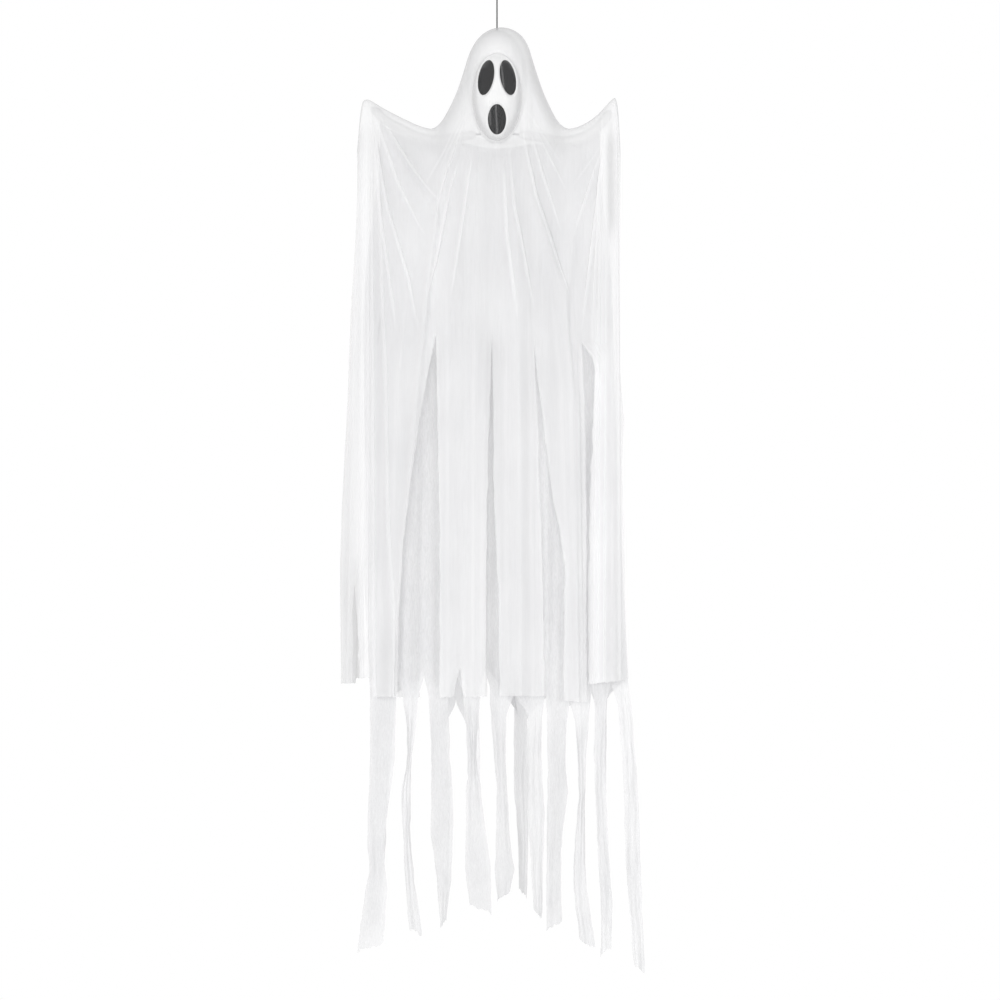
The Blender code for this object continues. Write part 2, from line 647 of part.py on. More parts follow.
def make_robe():
    cloth = Drape()
    ridge_x, ridge_y = ridge_places(ROBE_RIDGE, ROBE_COLUMNS, ROBE_RIDGE_X)
    total = ROBE_COLUMNS[-1]
    for side, cuts, strips, levels in (
        (-1, ROBE_CUTS_FRONT, STREAMERS_FRONT, ROBE_LEVEL),
        (1, ROBE_CUTS_BACK, STREAMERS_BACK, ROBE_LEVEL_BACK),
    ):
        wide = total // len(strips)
        for p, strip in enumerate(strips):
            grid = {}
            for c in range(p * wide, (p + 1) * wide + 1):
                share = (c - p * wide) / wide
                left_cut = cuts[p - 1] if p else None
                right_cut = cuts[p] if p < len(strips) - 1 else None

                def across(y):
                    left = left_cut or read(ROBE_EDGE_LEFT, y)
                    right = right_cut or read(ROBE_EDGE_RIGHT, y)
                    return (1 - share) * left + share * right

                level = read(levels, across(668))
                end = strip[-1][0] + (4 if p % 2 else -4) * (2 * share - 1)
                heights = row_heights(ridge_x[c], ridge_y[c], level, LAYER_GAP, ROBE_ROWS)
                for j in range(ROBE_ROWS + ROBE_ROWS_BELOW + 1):
                    if j <= ROBE_ROWS:
                        y = heights[j]
                        settle = step(0, 170, y - ridge_y[c])
                        x = (1 - settle) * ridge_x[c] + settle * across(y)
                        place = robe_point(x, y, side if j else 0)
                    else:
                        y = level + (end - level) * (j - ROBE_ROWS) / ROBE_ROWS_BELOW
                        free = streamer_point(strip, share, y, side, p, level)
                        held = robe_point(across(y), y, side)
                        ease = step(level, level + 28, y)
                        place = tuple((1 - ease) * a + ease * b for a, b in zip(held, free))
                    branch = ""
                    if j > ROBE_ROWS and c in (p * wide, (p + 1) * wide):
                        branch = "right" if c == p * wide else "left"
                    grid[c, j] = cloth.point((side if j else 0, c, j, branch), place)
            for c in range(p * wide, (p + 1) * wide):
                for j in range(ROBE_ROWS + ROBE_ROWS_BELOW):
                    cloth.faces.append((grid[c, j], grid[c, j + 1], grid[c + 1, j + 1], grid[c + 1, j]))
    robe = add_object("inner_robe", cloth.verts, cloth.faces, GREY_CLOTH)
    thicken(robe, ROBE_THICK)


for old in list(bpy.data.objects):
    bpy.data.objects.remove(old)
make_cords()
make_knot("loop_knot", KNOT_Z, KNOT_R, KNOT_HALF)
make_knot("anchor_knot", ANCHOR_Z, ANCHOR_R, ANCHOR_HALF)
make_head()
make_face()
make_arms()
make_robe()
make_veil()
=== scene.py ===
"""The looks of the hanging fabric ghost: sheer veil, crinkled robe, head, arms and twisted cord."""

import math
from collections import namedtuple

import bpy
import numpy as np
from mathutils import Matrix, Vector


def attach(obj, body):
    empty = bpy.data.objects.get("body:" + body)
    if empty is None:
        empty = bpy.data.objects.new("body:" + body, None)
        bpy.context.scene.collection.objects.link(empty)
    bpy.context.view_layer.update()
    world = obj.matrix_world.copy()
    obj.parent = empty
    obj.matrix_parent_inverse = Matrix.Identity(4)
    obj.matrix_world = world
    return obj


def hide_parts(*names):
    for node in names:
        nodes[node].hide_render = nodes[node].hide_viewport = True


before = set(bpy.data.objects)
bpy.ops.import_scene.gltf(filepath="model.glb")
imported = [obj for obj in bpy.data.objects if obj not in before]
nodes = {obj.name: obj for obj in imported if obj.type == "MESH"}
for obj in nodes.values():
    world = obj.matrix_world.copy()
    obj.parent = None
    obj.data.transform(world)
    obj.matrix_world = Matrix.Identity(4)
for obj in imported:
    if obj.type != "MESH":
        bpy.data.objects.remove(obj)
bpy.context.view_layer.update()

# Layout: points lie on a picture grid, x to the right and y down, and are turned into metres
GRID = 0.0016
CORD_X, LOOP_TOP = 497.0, -30.0
# Picture heights of the veil's slits, of its hem and of the robe's body, where its streamers begin
SLIT_Y, HEM_Y, ROBE_BODY_Y = 335.0, 690.0, 668.0
# A line that ends below this height goes on through the hem
THROUGH_HEM = 680

# Cloth: fold lines, cuts and hems, as the part has them. A seam's row gives its height, and x to
# the left and to the right of its cut
VEIL_RIDGE = (
    (357, 152), (360, 112), (364, 96), (384, 109), (404, 119), (421, 127), (437, 130),
    (454, 100), (463, 74), (470, 50), (481, 34), (497, 26.5), (514, 29), (527, 41),
    (534, 65), (545, 98), (562, 130), (580, 127), (597, 116), (611, 100), (616, 96.5),
    (618.5, 112), (620.5, 152),
)
VEIL_COLUMNS = (0, 25, 113, 202, 266, 325, 400)
VEIL_RIDGE_X = (357, 359.5, 434, 495, 530, 578, 620.5)
VEIL_LEVEL = ((341, 330), (436, 333), (492, 336), (534, 338), (581, 342), (629, 342))
VEIL_FRONT = (
    ((152, 357, 357), (208, 354, 354), (274, 352, 352), (330, 350, 350), (411, 347, 347),
     (502, 342, 342), (567, 340, 340), (690, 341, 341)),
    ((330, 357, 357), (583, 354.5, 354.5), (610, 352.5, 356), (690, 353, 358)),
    ((333, 436, 436), (411, 420, 437.5), (476, 408, 439), (541, 400, 440), (601, 396, 440),
     (697, 397, 440)),
    ((336, 492, 492), (398, 490, 493), (502, 487, 494), (580, 486, 498), (697, 485, 500)),
    ((338, 534, 534), (378, 535, 537.5), (427, 538, 544), (489, 539.5, 551),
     (528, 541, 559), (567, 542, 564), (700, 545, 564)),
    ((342, 581, 581), (359, 582.5, 593), (372, 583, 595), (424, 585, 592), (486, 586, 590),
     (600, 586.5, 588.5), (700, 587, 588.5)),
    ((152, 620.5, 620.5), (230, 619, 619), (372, 620, 620), (419, 624, 624),
     (466, 622, 622), (528, 624, 624), (632, 626, 626), (690, 629, 629)),
)
VEIL_BACK = (
    VEIL_FRONT[0],
    ((330, 361, 361), (560, 363, 363), (690, 364, 367)),
    ((333, 432, 432), (420, 425, 434), (560, 420, 436), (697, 419, 437)),
    ((336, 496, 496), (430, 491, 499), (560, 488, 501), (697, 487, 502)),
    ((338, 535, 535), (378, 536, 538), (450, 536, 542), (560, 534, 547), (700, 532, 550)),
    ((342, 583, 583), (420, 580, 590), (560, 577, 592), (700, 576, 594)),
    VEIL_FRONT[6],
)
# The leftmost seam's slit begins lower than the others
SPLIT_TOP = 583
VEIL_HEM = (
    (341, 683), (353, 683), (354, 678), (371, 678), (372, 697), (453, 697), (457.5, 667),
    (462, 697), (485, 697), (500, 696), (545, 696), (564, 701), (586, 702), (588, 684),
    (620, 681), (629, 678),
)
ROBE_RIDGE = (
    (380, 122.5), (386, 127.6), (404, 136.6), (421, 142.9), (439, 145.1), (455, 143.8),
    (467, 143.6), (480, 147), (497, 148.5), (514, 147.2), (528, 144.4), (548, 144.4),
    (564, 145.9), (580, 143.2), (592, 138.4), (600, 132.6),
)
ROBE_STEP = 24
ROBE_RIDGE_X = (380, 397, 420, 444, 466.5, 497, 527.5, 548, 568, 585, 600)
ROBE_LEVEL = ((360, 668), (425, 673), (456, 668), (485, 664), (509, 690), (545, 690),
              (570, 696), (592, 684), (611, 678), (630, 672))
ROBE_LEVEL_BACK = ((360, 668), (424, 671), (440, 690), (456, 699), (470, 690), (486, 664),
                   (505, 690), (545, 692), (570, 694), (592, 684), (611, 678), (630, 672))
ROBE_EDGE_LEFT = ((121, 380), (200, 368), (330, 363), (500, 366), (668, 369))
ROBE_EDGE_RIGHT = ((132, 600), (230, 611), (372, 614), (500, 619), (672, 628))
ROBE_CUTS_FRONT = (397, 424, 456, 485, 514, 545, 570, 592, 611)
ROBE_CUTS_BACK = (424, 456, 486, 548, 590)
# Streamers: each row gives a height and x of the left and the right edge
STREAMERS_FRONT = (
    ((700, 370, 396), (755, 370, 395), (847, 367, 383), (869, 370, 385), (891, 365, 387),
     (948, 358, 383)),
    ((700, 403, 418), (726, 407, 416), (755, 408, 411.5), (792, 401, 411), (836, 403, 410),
     (880, 405, 414), (932, 409, 422)),
    ((700, 429, 448), (755, 431, 450), (792, 431, 453), (836, 431, 453), (880, 437, 451),
     (924, 440, 446)),
    ((700, 463, 480), (755, 470, 476), (792, 466, 481), (836, 466, 486), (869, 465, 491),
     (909, 470, 491)),
    ((704, 490, 507), (755, 494, 505), (792, 497, 507), (836, 496, 510), (869, 495, 514),
     (896, 497, 510)),
    ((697, 528, 543), (755, 527, 541), (814, 527.5, 545), (870, 531, 543), (915, 534, 542)),
    ((702, 547, 568), (755, 547.5, 565), (792, 548, 568), (836, 547, 562), (880, 546, 561),
     (925, 547, 562)),
    ((702, 573, 590), (755, 578, 586), (795, 579, 585), (858, 574, 585), (891, 574, 587),
     (944, 580, 595)),
    ((700, 595, 606), (754, 594, 604), (814, 596, 607), (858, 598, 609), (902, 601, 612),
     (952, 601, 611)),
    ((679, 615, 629), (726, 620, 633), (792, 624, 638), (836, 625, 640), (880, 627, 641),
     (968, 634, 645)),
)
STREAMERS_BACK = (
    ((720, 374, 394), (800, 371, 388), (880, 369, 383), (925, 366, 381)),
    ((720, 431, 446), (800, 433, 450), (870, 436, 449), (900, 438, 446)),
    ((720, 466, 479), (780, 468, 480), (840, 468, 484), (885, 471, 488)),
    ((697, 514, 527), (792, 514, 527), (836, 518, 528), (893, 519, 527)),
    ((720, 552, 566), (790, 550, 565), (850, 549, 560), (905, 549, 559)),
    ((700, 597, 607), (780, 598, 606), (850, 599, 608), (925, 602, 610)),
)
# Half width of a streamer laid flat, and how much painted shade darkens each one on either side
STREAMER_FLAT = 10.5
STREAMER_PAINTED_SHADE = {
    -1: (0.03, 0.03, 0.07, 0.05, 0.10, 0.05, 0.07, 0.03, 0.0, 0.0),
    1: (0.0, 0.0, 0.0, 0.0, 0.0, 0.0),
}

# Depth of the drape either side of the fold line
ARM_DEPTH, HEAD_DEPTH, HEAD_SPREAD = 0.0130, 0.0612, 45.0
CAP_SHAPE = 1.5
HEM_DEPTH, EDGE_DEPTH, HEM_FALL = 0.046, 0.007, 0.50
BODY_X, BODY_HALF = 485.0, 146.0
LAYER_GAP = 0.0045

# Head, face, arms and cord, as the part has them
HEAD_Z, HEAD_X, HEAD_Y, HEAD_UP, HEAD_DOWN = -0.176, 0.0488, 0.0500, 0.0800, 0.1030
MASK_Z, MASK_X, MASK_HALF = -0.2030, 0.0395, 0.0700
MASK_OUT, MASK_EDGE, MASK_WALL = 0.0050, 0.0035, 0.0011
EYE_X, EYE_Z, EYE_RX, EYE_RZ, EYE_TILT = 0.0176, -0.1720, 0.0122, 0.0285, 0.20
MOUTH_Z, MOUTH_RX, MOUTH_RZ = -0.2390, 0.0145, 0.0245
ARM_LEFT = (
    (371.5, 107.5), (378, 113.5), (386, 120.5), (404, 130), (421, 137.2), (439, 139.7),
    (455, 137.8), (468, 135.4),
)
ARM_RIGHT = (
    (610.5, 110.5), (605, 119), (600, 125), (592, 131.5), (580, 137.5), (564, 140.5),
    (548, 139), (526, 135.4),
)
WIRE_Y, WIRE_Z = 0.0060, -0.26272
WIRE_STRAIGHT = (-0.031, -0.012, 0.012, 0.031)
SLEEVE_R, SLEEVE_TIP, SLEEVE_ENDS = 0.0070, 0.0012, (476, 519)
CORD_R, GAP = 0.001, 0.0004
KNOT_Z, KNOT_HALF = -0.0335, 0.0034
ANCHOR_Z, ANCHOR_HALF = WIRE_Z - 0.0088, 0.0036
LOOP_HALF_WIDTH, LOOP_NARROW, LOOP_ENDS = 0.007, 0.16, 0.0013

# Folds: a line down the cloth, then half width in picture units, height and lean in metres
SOFT_FOLDS = (
    (((368, 100), (400, 165), (432, 215), (420, 330), (388, 690)), 8.0, 0.005, 0.003),
    (((468, 108), (440, 170), (428, 240), (418, 330), (384, 690)), 6.0, 0.005, 0.003),
    (((470, 150), (463, 330), (462, 697)), 8.0, 0.006, 0.002),
    (((522, 124), (532, 195), (560, 290), (573, 420), (574, 697)), 6.0, 0.006, 0.004),
    (((512, 150), (518, 300), (520, 697)), 8.0, 0.006, 0.002),
    (((602, 140), (572, 241), (560, 330), (545, 340)), 7.0, 0.005, 0.002),
)
BACK_FOLDS = (
    (((363, 98), (358, 300), (350, 690)), 5.0, 0.008, 0.006),
    (((370, 104), (372, 300), (368, 690)), 4.0, 0.007, 0.006),
    (((378, 110), (392, 330), (386, 690)), 8.0, 0.008, 0.003),
    (((450, 150), (440, 330), (410, 690)), 8.0, 0.006, 0.002),
    (((480, 150), (470, 330), (462, 690)), 8.0, 0.007, 0.002),
    (((515, 150), (522, 330), (516, 690)), 8.0, 0.007, 0.002),
    (((545, 150), (556, 330), (562, 690)), 8.0, 0.006, 0.002),
    (((606, 110), (600, 330), (606, 690)), 6.0, 0.009, 0.006),
    (((612, 110), (612, 330), (616, 690)), 4.0, 0.007, 0.005),
)
CREASES = (
    # from the left hand
    (((368, 101), (387, 208), (408, 278), (416, 330)), 1.0, 0.0011, 0.0025),
    (((370, 103), (396, 180), (424, 236)), 1.1, 0.0009, 0.0018),
    (((372, 104), (410, 165), (440, 205)), 1.4, 0.0009, 0.0016),
    (((369, 104), (380, 215), (396, 330)), 1.0, 0.0010, 0.0020),
    # from the left of the head
    (((470, 105), (452, 140), (435, 176)), 1.0, 0.0010, 0.0022),
    (((469, 106), (447, 165), (430, 227)), 1.0, 0.0010, 0.0022),
    (((462, 150), (450, 186), (435, 260), (422, 300)), 1.0, 0.0012, 0.0030),
    (((458, 120), (444, 150), (424, 186)), 1.0, 0.0008, 0.0018),
    (((474, 140), (462, 215), (450, 300)), 1.1, 0.0007, 0.0013),
    # from the right of the head
    (((523, 104), (541, 132), (561, 163)), 1.0, 0.0010, 0.0022),
    (((526, 114), (541, 170), (561, 231)), 1.0, 0.0010, 0.0025),
    (((521, 123), (534, 195), (569, 299)), 1.0, 0.0011, 0.0028),
    (((509, 145), (514, 208), (534, 308)), 1.0, 0.0009, 0.0020),
    (((530, 118), (546, 150), (566, 190)), 1.0, 0.0007, 0.0016),
    (((503, 150), (506, 230), (516, 320)), 1.1, 0.0006, 0.0012),
    # from the right hand
    (((604, 140), (590, 162), (572, 187)), 1.0, 0.0010, -0.0022),
    (((604, 142), (588, 190), (570, 242)), 1.0, 0.0010, -0.0025),
    (((606, 144), (598, 200), (582, 330)), 1.1, 0.0011, -0.0028),
    (((608, 120), (600, 190), (592, 330)), 1.1, 0.0010, -0.0020),
)
# Pleats that hang from the hands: x at the top and at the hem, half width, height and lean
HAND_PLEATS = (
    (361.5, 345, 1.6, 0.0012, 0.0014),
    (363.5, 357, 1.5, 0.0018, 0.0026),
    (366.0, 361, 1.4, 0.0016, 0.0022),
    (368.5, 366, 1.5, 0.0020, 0.0026),
    (371.0, 373, 1.4, 0.0016, 0.0022),
    (375.5, 391, 1.3, 0.0012, 0.0016),
    (603.0, 594, 1.6, 0.0014, -0.0018),
    (606.5, 600, 2.4, 0.0026, -0.0030),
    (609.5, 607, 2.2, 0.0026, -0.0030),
    (615.0, 620, 1.8, 0.0018, 0.0018),
)
# Softer folds of the skirt, given as the pleats are
PANEL_FOLDS = (
    (398, 376, 3.0, 0.0008, 0.0011),
    (412, 386, 2.6, 0.0008, 0.0014),
    (446, 447, 2.4, 0.0006, 0.0011),
    (456, 459, 3.0, 0.0008, 0.0013),
    (474, 472, 2.4, 0.0007, 0.0013),
    (486, 481, 2.6, 0.0005, 0.0010),
    (502, 507, 2.6, 0.0006, 0.0011),
    (513, 519, 2.4, 0.0008, 0.0013),
    (526, 533, 2.4, 0.0007, 0.0013),
    (545, 570, 2.6, 0.0007, 0.0014),
    (556, 576, 2.4, 0.0008, 0.0016),
    (568, 582, 2.2, 0.0008, 0.0016),
    (592, 592, 2.0, 0.0008, 0.0014),
)

# Painted shade, where a hollow would get little light: a line down the cloth, half width, and how
# much darker.
# A painted highlight, where the cloth would catch the light, has an amount below zero
VEIL_PAINTED_SHADE = (
    (((611.5, 124), (612, 180), (612.5, 244)), 3.0, 0.25),
    (((375, 122), (378, 150), (396, 214)), 4.0, 0.05),
    (((396, 134), (408, 152), (426, 200)), 12.0, 0.09),
    (((457, 60), (449, 100), (439, 150)), 9.0, 0.09),
    (((364, 96), (390, 124), (425, 141), (440, 160)), 9.0, 0.05),
    (((534, 50), (549, 100), (559, 150)), 9.0, 0.13),
    (((480, 60), (465, 110), (458, 170)), 3.0, 0.04),
    (((489, 152), (486, 240), (484, 330), (484, 420)), 6.0, 0.035),
    (((500, 330), (505, 480), (510, 697)), 7.0, 0.02),
    (((355, 120), (347, 330), (346, 500), (346, 690)), 8.0, 0.13),
    (((368, 120), (376, 250), (380, 400), (384, 690)), 6.0, 0.05),
    (((603, 350), (601, 420), (599, 560), (598, 690)), 9.0, -0.055),
    (((371, 112), (379, 160), (400, 240)), 6.0, 0.04),
    (((353, 583), (354, 640), (354, 690)), 5.0, 0.05),
    (((380, 320), (379, 330), (378, 340)), 1.0, 0.50),
)
BACK_PAINTED_SHADE = ((((356, 560), (356, 620), (356, 690)), 7.0, 0.35),)
ROBE_PAINTED_SHADE = (
    (((492, 336), (492, 480), (492, 700)), 6.0, 0.22),
    (((437, 340), (434, 420), (434, 560), (436, 697)), 5.0, 0.10),
    (((437, 345), (424, 440), (416, 560), (416, 697)), 8.0, 0.08),
    (((434, 345), (412, 440), (400, 560), (397, 697)), 6.0, 0.08),
    (((538, 350), (543, 430), (556, 520), (562, 690)), 6.0, 0.04),
    (((588, 346), (590, 400), (588, 500), (588, 690)), 6.0, 0.08),
)
# Painted shadow under the chin: its amount, half width, middle height and half height
CHIN_PAINTED_SHADE = (0.13, 36, 142.5, 4.2)
# Where the veil begins and ends to clear over the face, and how clear it gets
CLEAR_FROM, CLEAR_TO, CLEARED = 0.84, 1.14, 0.95
# Thin pulled threads of the veil that cross the face's openings, their half width and cover
THREAD_WIDTH, THREAD_COVER = 0.7, 0.30
FACE_THREADS = (((501, 60), (504.5, 96)), ((495.5, 100), (497.7, 141)), ((489.5, 102), (490.2, 124)))

# Small forms in metres, and how far frayed edges wander in picture units
VEIL_RIPPLE, ROBE_WAVE, ROBE_CRINKLE, ROBE_LEAST = 0.0011, 0.0070, 0.0016, 0.0012
STREAMER_INSET, STREAMER_SWAY, STREAMER_CUP, STREAMER_CRINKLE = 0.006, 0.006, 0.0020, 0.0007
HEM_FRAY, SLIT_FRAY, STREAMER_FRAY, STREAMER_END_FRAY = 0.6, 0.7, 0.45, 1.6


def rounded(line, times=2):
    """The line with its corners cut."""
    line = np.asarray(line, float)
    for _ in range(times):
        near, far = line[:-1] * 0.75 + line[1:] * 0.25, line[:-1] * 0.25 + line[1:] * 0.75
        cut = np.stack([near, far], axis=1).reshape(-1, 2)
        line = np.concatenate([line[:1], cut, line[-1:]])
    return line


VEIL_RIDGE = rounded(VEIL_RIDGE)

# Each cloth's front and back: its cuts, rows down to them, those of the rounded top, rows below
VeilSide = namedtuple("VeilSide", "side seams rows cap_rows lower_rows")
VEIL_SIDES = (VeilSide(-1, VEIL_FRONT, 138, 16, 46), VeilSide(1, VEIL_BACK, 30, 10, 22))
RobeSide = namedtuple("RobeSide", "side cuts strips levels rows cap_rows lower_rows")
ROBE_SIDES = (
    RobeSide(-1, ROBE_CUTS_FRONT, STREAMERS_FRONT, ROBE_LEVEL, 110, 12, 96),
    RobeSide(1, ROBE_CUTS_BACK, STREAMERS_BACK, ROBE_LEVEL_BACK, 50, 8, 60),
)


def to_x(grid_x):
    return (np.asarray(grid_x, float) - CORD_X) * GRID


def to_z(grid_y):
    return -(np.asarray(grid_y, float) - LOOP_TOP) * GRID


def read(table, at, column=1):
    """The table's column at a place in its first column."""
    rows = np.asarray(table, float)
    return np.interp(at, rows[:, 0], rows[:, column])


def step(start, end, at):
    """Rises smoothly from 0 at the start to 1 at the end."""
    t = np.clip((np.asarray(at, float) - start) / (end - start), 0.0, 1.0)
    return t * t * (3 - 2 * t)


def bell(at, middle, half):
    """A smooth bump of height 1 with its top at the middle."""
    return np.exp(-(((at - middle) / half) ** 2))


def line_x(line, y):
    """The x of a line of picture points at a height."""
    return read([(b, a) for a, b in line], y)


def rough_field(x, y, seed, octaves=3):
    """Smooth seeded noise over picture points, about -1 to 1."""
    rng = np.random.default_rng(seed)
    table = rng.uniform(-1, 1, (64, 64))
    total, size = np.zeros(np.broadcast(x, y).shape), 1.0
    for _ in range(octaves):
        u, v = np.asarray(x) / size % 64, np.asarray(y) / size % 64
        i, j = np.floor(u).astype(int), np.floor(v).astype(int)
        a, b = u - i, v - j
        a, b = a * a * (3 - 2 * a), b * b * (3 - 2 * b)
        i, j = i % 64, j % 64
        k, m = (i + 1) % 64, (j + 1) % 64
        low = table[i, j] * (1 - a) + table[k, j] * a
        high = table[i, m] * (1 - a) + table[k, m] * a
        total += size * (low * (1 - b) + high * b)
        size /= 2.0
    return total


def ridge_places(ridge, columns, anchors):
    """Each column's place on a fold line, spread evenly between the anchors' x."""
    line = np.asarray(ridge, float)
    along = np.concatenate([[0], np.cumsum(np.hypot(*np.diff(line, axis=0).T))])
    stops = np.interp(anchors, line[:, 0], along)
    places = np.interp(np.arange(columns[-1] + 1), columns, stops)
    return np.interp(places, along, line[:, 0]), np.interp(places, along, line[:, 1])


def top_depth(x, inset):
    """Half the depth of a cloth's rounded top: slight on the arms, deep over the head."""
    return ARM_DEPTH + (HEAD_DEPTH - ARM_DEPTH) * bell(x, CORD_X, HEAD_SPREAD) - inset


def drape_depth(x, y, ridge, inset, roundness=0.5):
    """How far a cloth hangs in front of its fold line: a rounded top, then a widening fall."""
    depth = top_depth(x, inset)
    below = np.maximum((y - read(ridge, x)) * GRID, 0.0)
    cap = np.minimum(below / (depth * CAP_SHAPE), 1.0)
    fall = 1 - np.exp(-np.maximum((y - read(VEIL_RIDGE, x)) * GRID, 0.0) / HEM_FALL)
    round_out = np.sqrt(np.maximum(1 - ((x - BODY_X) / BODY_HALF) ** 2, 0.0))
    widening = (EDGE_DEPTH + (HEM_DEPTH - EDGE_DEPTH) * round_out - inset - depth) * fall
    return depth * (1 - (1 - cap) ** 2) ** roundness + widening * step(0, 0.05, below)


def folded(x, y, folds, fade_in, fade_out):
    """Height, lean and share of doubled cloth that the folds give at a picture point."""
    height, lean, layers = np.zeros((3, *x.shape))
    for line, width, tall, over in folds:
        top, bottom = line[0][1], line[-1][1]
        share = bell(x, line_x(line, y), width) * step(top, top + fade_in, y)
        if bottom < THROUGH_HEM:
            share = share * (1 - step(bottom - fade_out, bottom + 5, y))
        height += tall * share
        lean += over * share
        layers += share
    return height, lean, layers


def painted_shade_at(x, y, shade_strokes):
    """How much painted shade the strokes put on the cloth at a picture point."""
    dark = np.zeros(x.shape)
    for line, width, amount in shade_strokes:
        top, bottom = line[0][1], line[-1][1]
        lower_end = step(bottom - 30, bottom + 8, y) * (bottom < THROUGH_HEM)
        ends = step(top - 8, top + 22, y) * (1 - lower_end)
        dark += amount * bell(x, line_x(line, y), width) * ends
    return dark


def hung_lines(pleats, top):
    """Pleats as folds whose lines run from the top down through the hem."""
    bend, foot = 380, 700
    return [
        (((a, top), ((a + b) / 2 + 0.1 * (b - a), bend), (b, foot)), width, tall, over)
        for a, b, width, tall, over in pleats
    ]


# Sets of folds on either side of the veil: the folds, how far they take to begin and to end, and
# how many layers they add
VEIL_SETS = {
    -1: (
        (SOFT_FOLDS, 110, 60, 0.0),
        (CREASES, 60, 60, 1.3),
        (hung_lines(HAND_PLEATS, 99), 60, 0, 0.9),
        (hung_lines(PANEL_FOLDS, 236), 150, 0, 0.15),
    ),
    1: ((BACK_FOLDS, 90, 60, 0.8),),
}


def gathered(x, y):
    """Extra layers where the veil is drawn together beside the head and along the arms."""
    beside = bell(np.abs(x - CORD_X), 46, 17) * (1 - step(120, 190, y))
    along_arm = 1 - step(0, 26, y - read(VEIL_RIDGE, x))
    chin = bell(x, CORD_X, 34) * bell(y, 146, 7)
    outer_edge = (1 - step(344, 356, x)) * step(130, 260, y)
    right_panel = step(588, 596, x) * (1 - step(610, 618, x)) * step(240, 380, y)
    return 0.8 * beside + 0.15 * along_arm + 0.4 * chin + 0.4 * outer_edge + 1.3 * right_panel


def veil_point(x, y, side):
    """Where the veil lies at a picture point, with its extra layers and its painted shade."""
    height, lean, layers = np.zeros((3, *x.shape))
    for folds, fade_in, fade_out, doubling in VEIL_SETS[side]:
        more, over, share = folded(x, y, folds, fade_in, fade_out)
        height += more
        lean += over
        layers += doubling * share
    below = y - read(VEIL_RIDGE, x)
    off_ridge = step(0, 9, below)
    layers = layers * off_ridge + gathered(x, y)
    ripple = rough_field(x / 11.0, y / 120.0, 11) + 0.07 * rough_field(x / 3.0, y / 50.0, 12)
    height += VEIL_RIPPLE * (1.3 + ripple) * step(0, 60, below)
    # Painted shade from the strokes, faded at the fold line; on the front, painted shadow under the
    # chin too
    shade = off_ridge * painted_shade_at(x, y, VEIL_PAINTED_SHADE if side < 0 else BACK_PAINTED_SHADE)
    if side < 0:
        amount, half_width, middle_y, half_height = CHIN_PAINTED_SHADE
        shade += amount * bell(x, CORD_X, half_width) * bell(y, middle_y, half_height)
    x = x + lean / GRID
    depth = drape_depth(x, y, VEIL_RIDGE, 0.0) + height
    return np.stack([to_x(x), side * depth, to_z(y), layers, shade], axis=-1)


def add_object(name, data):
    """Puts an object with this data in the scene."""
    obj = bpy.data.objects.new(name, data)
    bpy.context.scene.collection.objects.link(obj)
    return obj


def new_mesh(name, verts, faces):
    """A smooth mesh object of the given points and faces."""
    mesh = bpy.data.meshes.new(name)
    mesh.from_pydata(np.asarray(verts).tolist(), [], [[int(v) for v in face] for face in faces])
    mesh.shade_smooth()
    return add_object(name, mesh)


def ring_quads(rings, around):
    """The quads between neighbouring rings of points."""
    i, j = np.divmod(np.arange((rings - 1) * around), around)
    inner, k = i * around, (j + 1) % around
    outer = inner + around
    return np.stack([inner + j, outer + j, outer + k, inner + k], axis=1)


class Drape:
    """One cloth folded over a line: a grid with shared points, cut where its seams say."""

    def __init__(self):
        self.verts, self.faces, self.known = [], [], {}

    def point(self, key, place):
        if key not in self.known:
            self.known[key] = len(self.verts)
            self.verts.append(tuple(float(v) for v in place))
        return self.known[key]

    def weave(self, grid, keys, side):
        """Adds the quads between neighbouring grid points, all facing out. keys names each point."""
        found = [[self.point(keys(c, j), grid[c, j]) for j in range(grid.shape[1])]
                 for c in range(grid.shape[0])]
        for c in range(grid.shape[0] - 1):
            for j in range(grid.shape[1] - 1):
                corners = (found[c][j], found[c][j + 1], found[c + 1][j + 1], found[c + 1][j])
                self.faces.append(corners[::-1] if side > 0 else corners)

    def make(self, name):
        """The cloth as an object. A point's last two numbers are its extra layers and its painted
        shade.
        """
        obj = new_mesh(name, [v[:3] for v in self.verts], self.faces)
        for kind, column in (("layers", 3), ("shade", 4)):
            marks = obj.data.attributes.new(kind, "FLOAT", "POINT")
            marks.data.foreach_set("value", [v[column] for v in self.verts])
        return obj


def row_heights(ridge_x, ridge_y, level, inset, rows, cap_rows):
    """Picture heights of each column's rows, columns first: over the rounded top, then down."""
    cap = top_depth(ridge_x, inset) * CAP_SHAPE / GRID
    near = ridge_y[:, None] + cap[:, None] * (np.arange(cap_rows + 1) / cap_rows) ** 2
    share = np.arange(1, rows - cap_rows + 1) / (rows - cap_rows)
    far = near[:, -1:] + (level[:, None] - near[:, -1:]) * share
    return np.concatenate([near, far], axis=1)


def rows_between(start, end, rows):
    """Picture heights of rows spread evenly below the start, with the last one on the end."""
    return start[:, None] + (end - start)[:, None] * np.arange(1, rows + 1) / rows


def settled(ridge_x, ridge_y, x, y):
    """Eases each column from its place on the fold line to its x in the panel."""
    share = step(0, 170, y - ridge_y[:, None])
    return (1 - share) * ridge_x[:, None] + share * x


def point_names(side, first, wide, left_cut, right_cut):
    """Names a panel's points, so that neighbours share their seam down to the row of its cut."""

    def key(i, j):
        branch = ""
        if i == 0 and j > left_cut:
            branch = "right"
        elif i == wide and j > right_cut:
            branch = "left"
        return (side if j else 0, first + i, j, branch)

    return key


def frayed(y, seam, seed):
    """How far a slit's edge wanders, below the top of the slit."""
    if seam in (0, len(VEIL_FRONT) - 1):
        return 0.0
    top = SPLIT_TOP + 12 if seam == 1 else 352
    return SLIT_FRAY * rough_field(y / 9, seam * 7.0, seed) * step(top, top + 60, y)


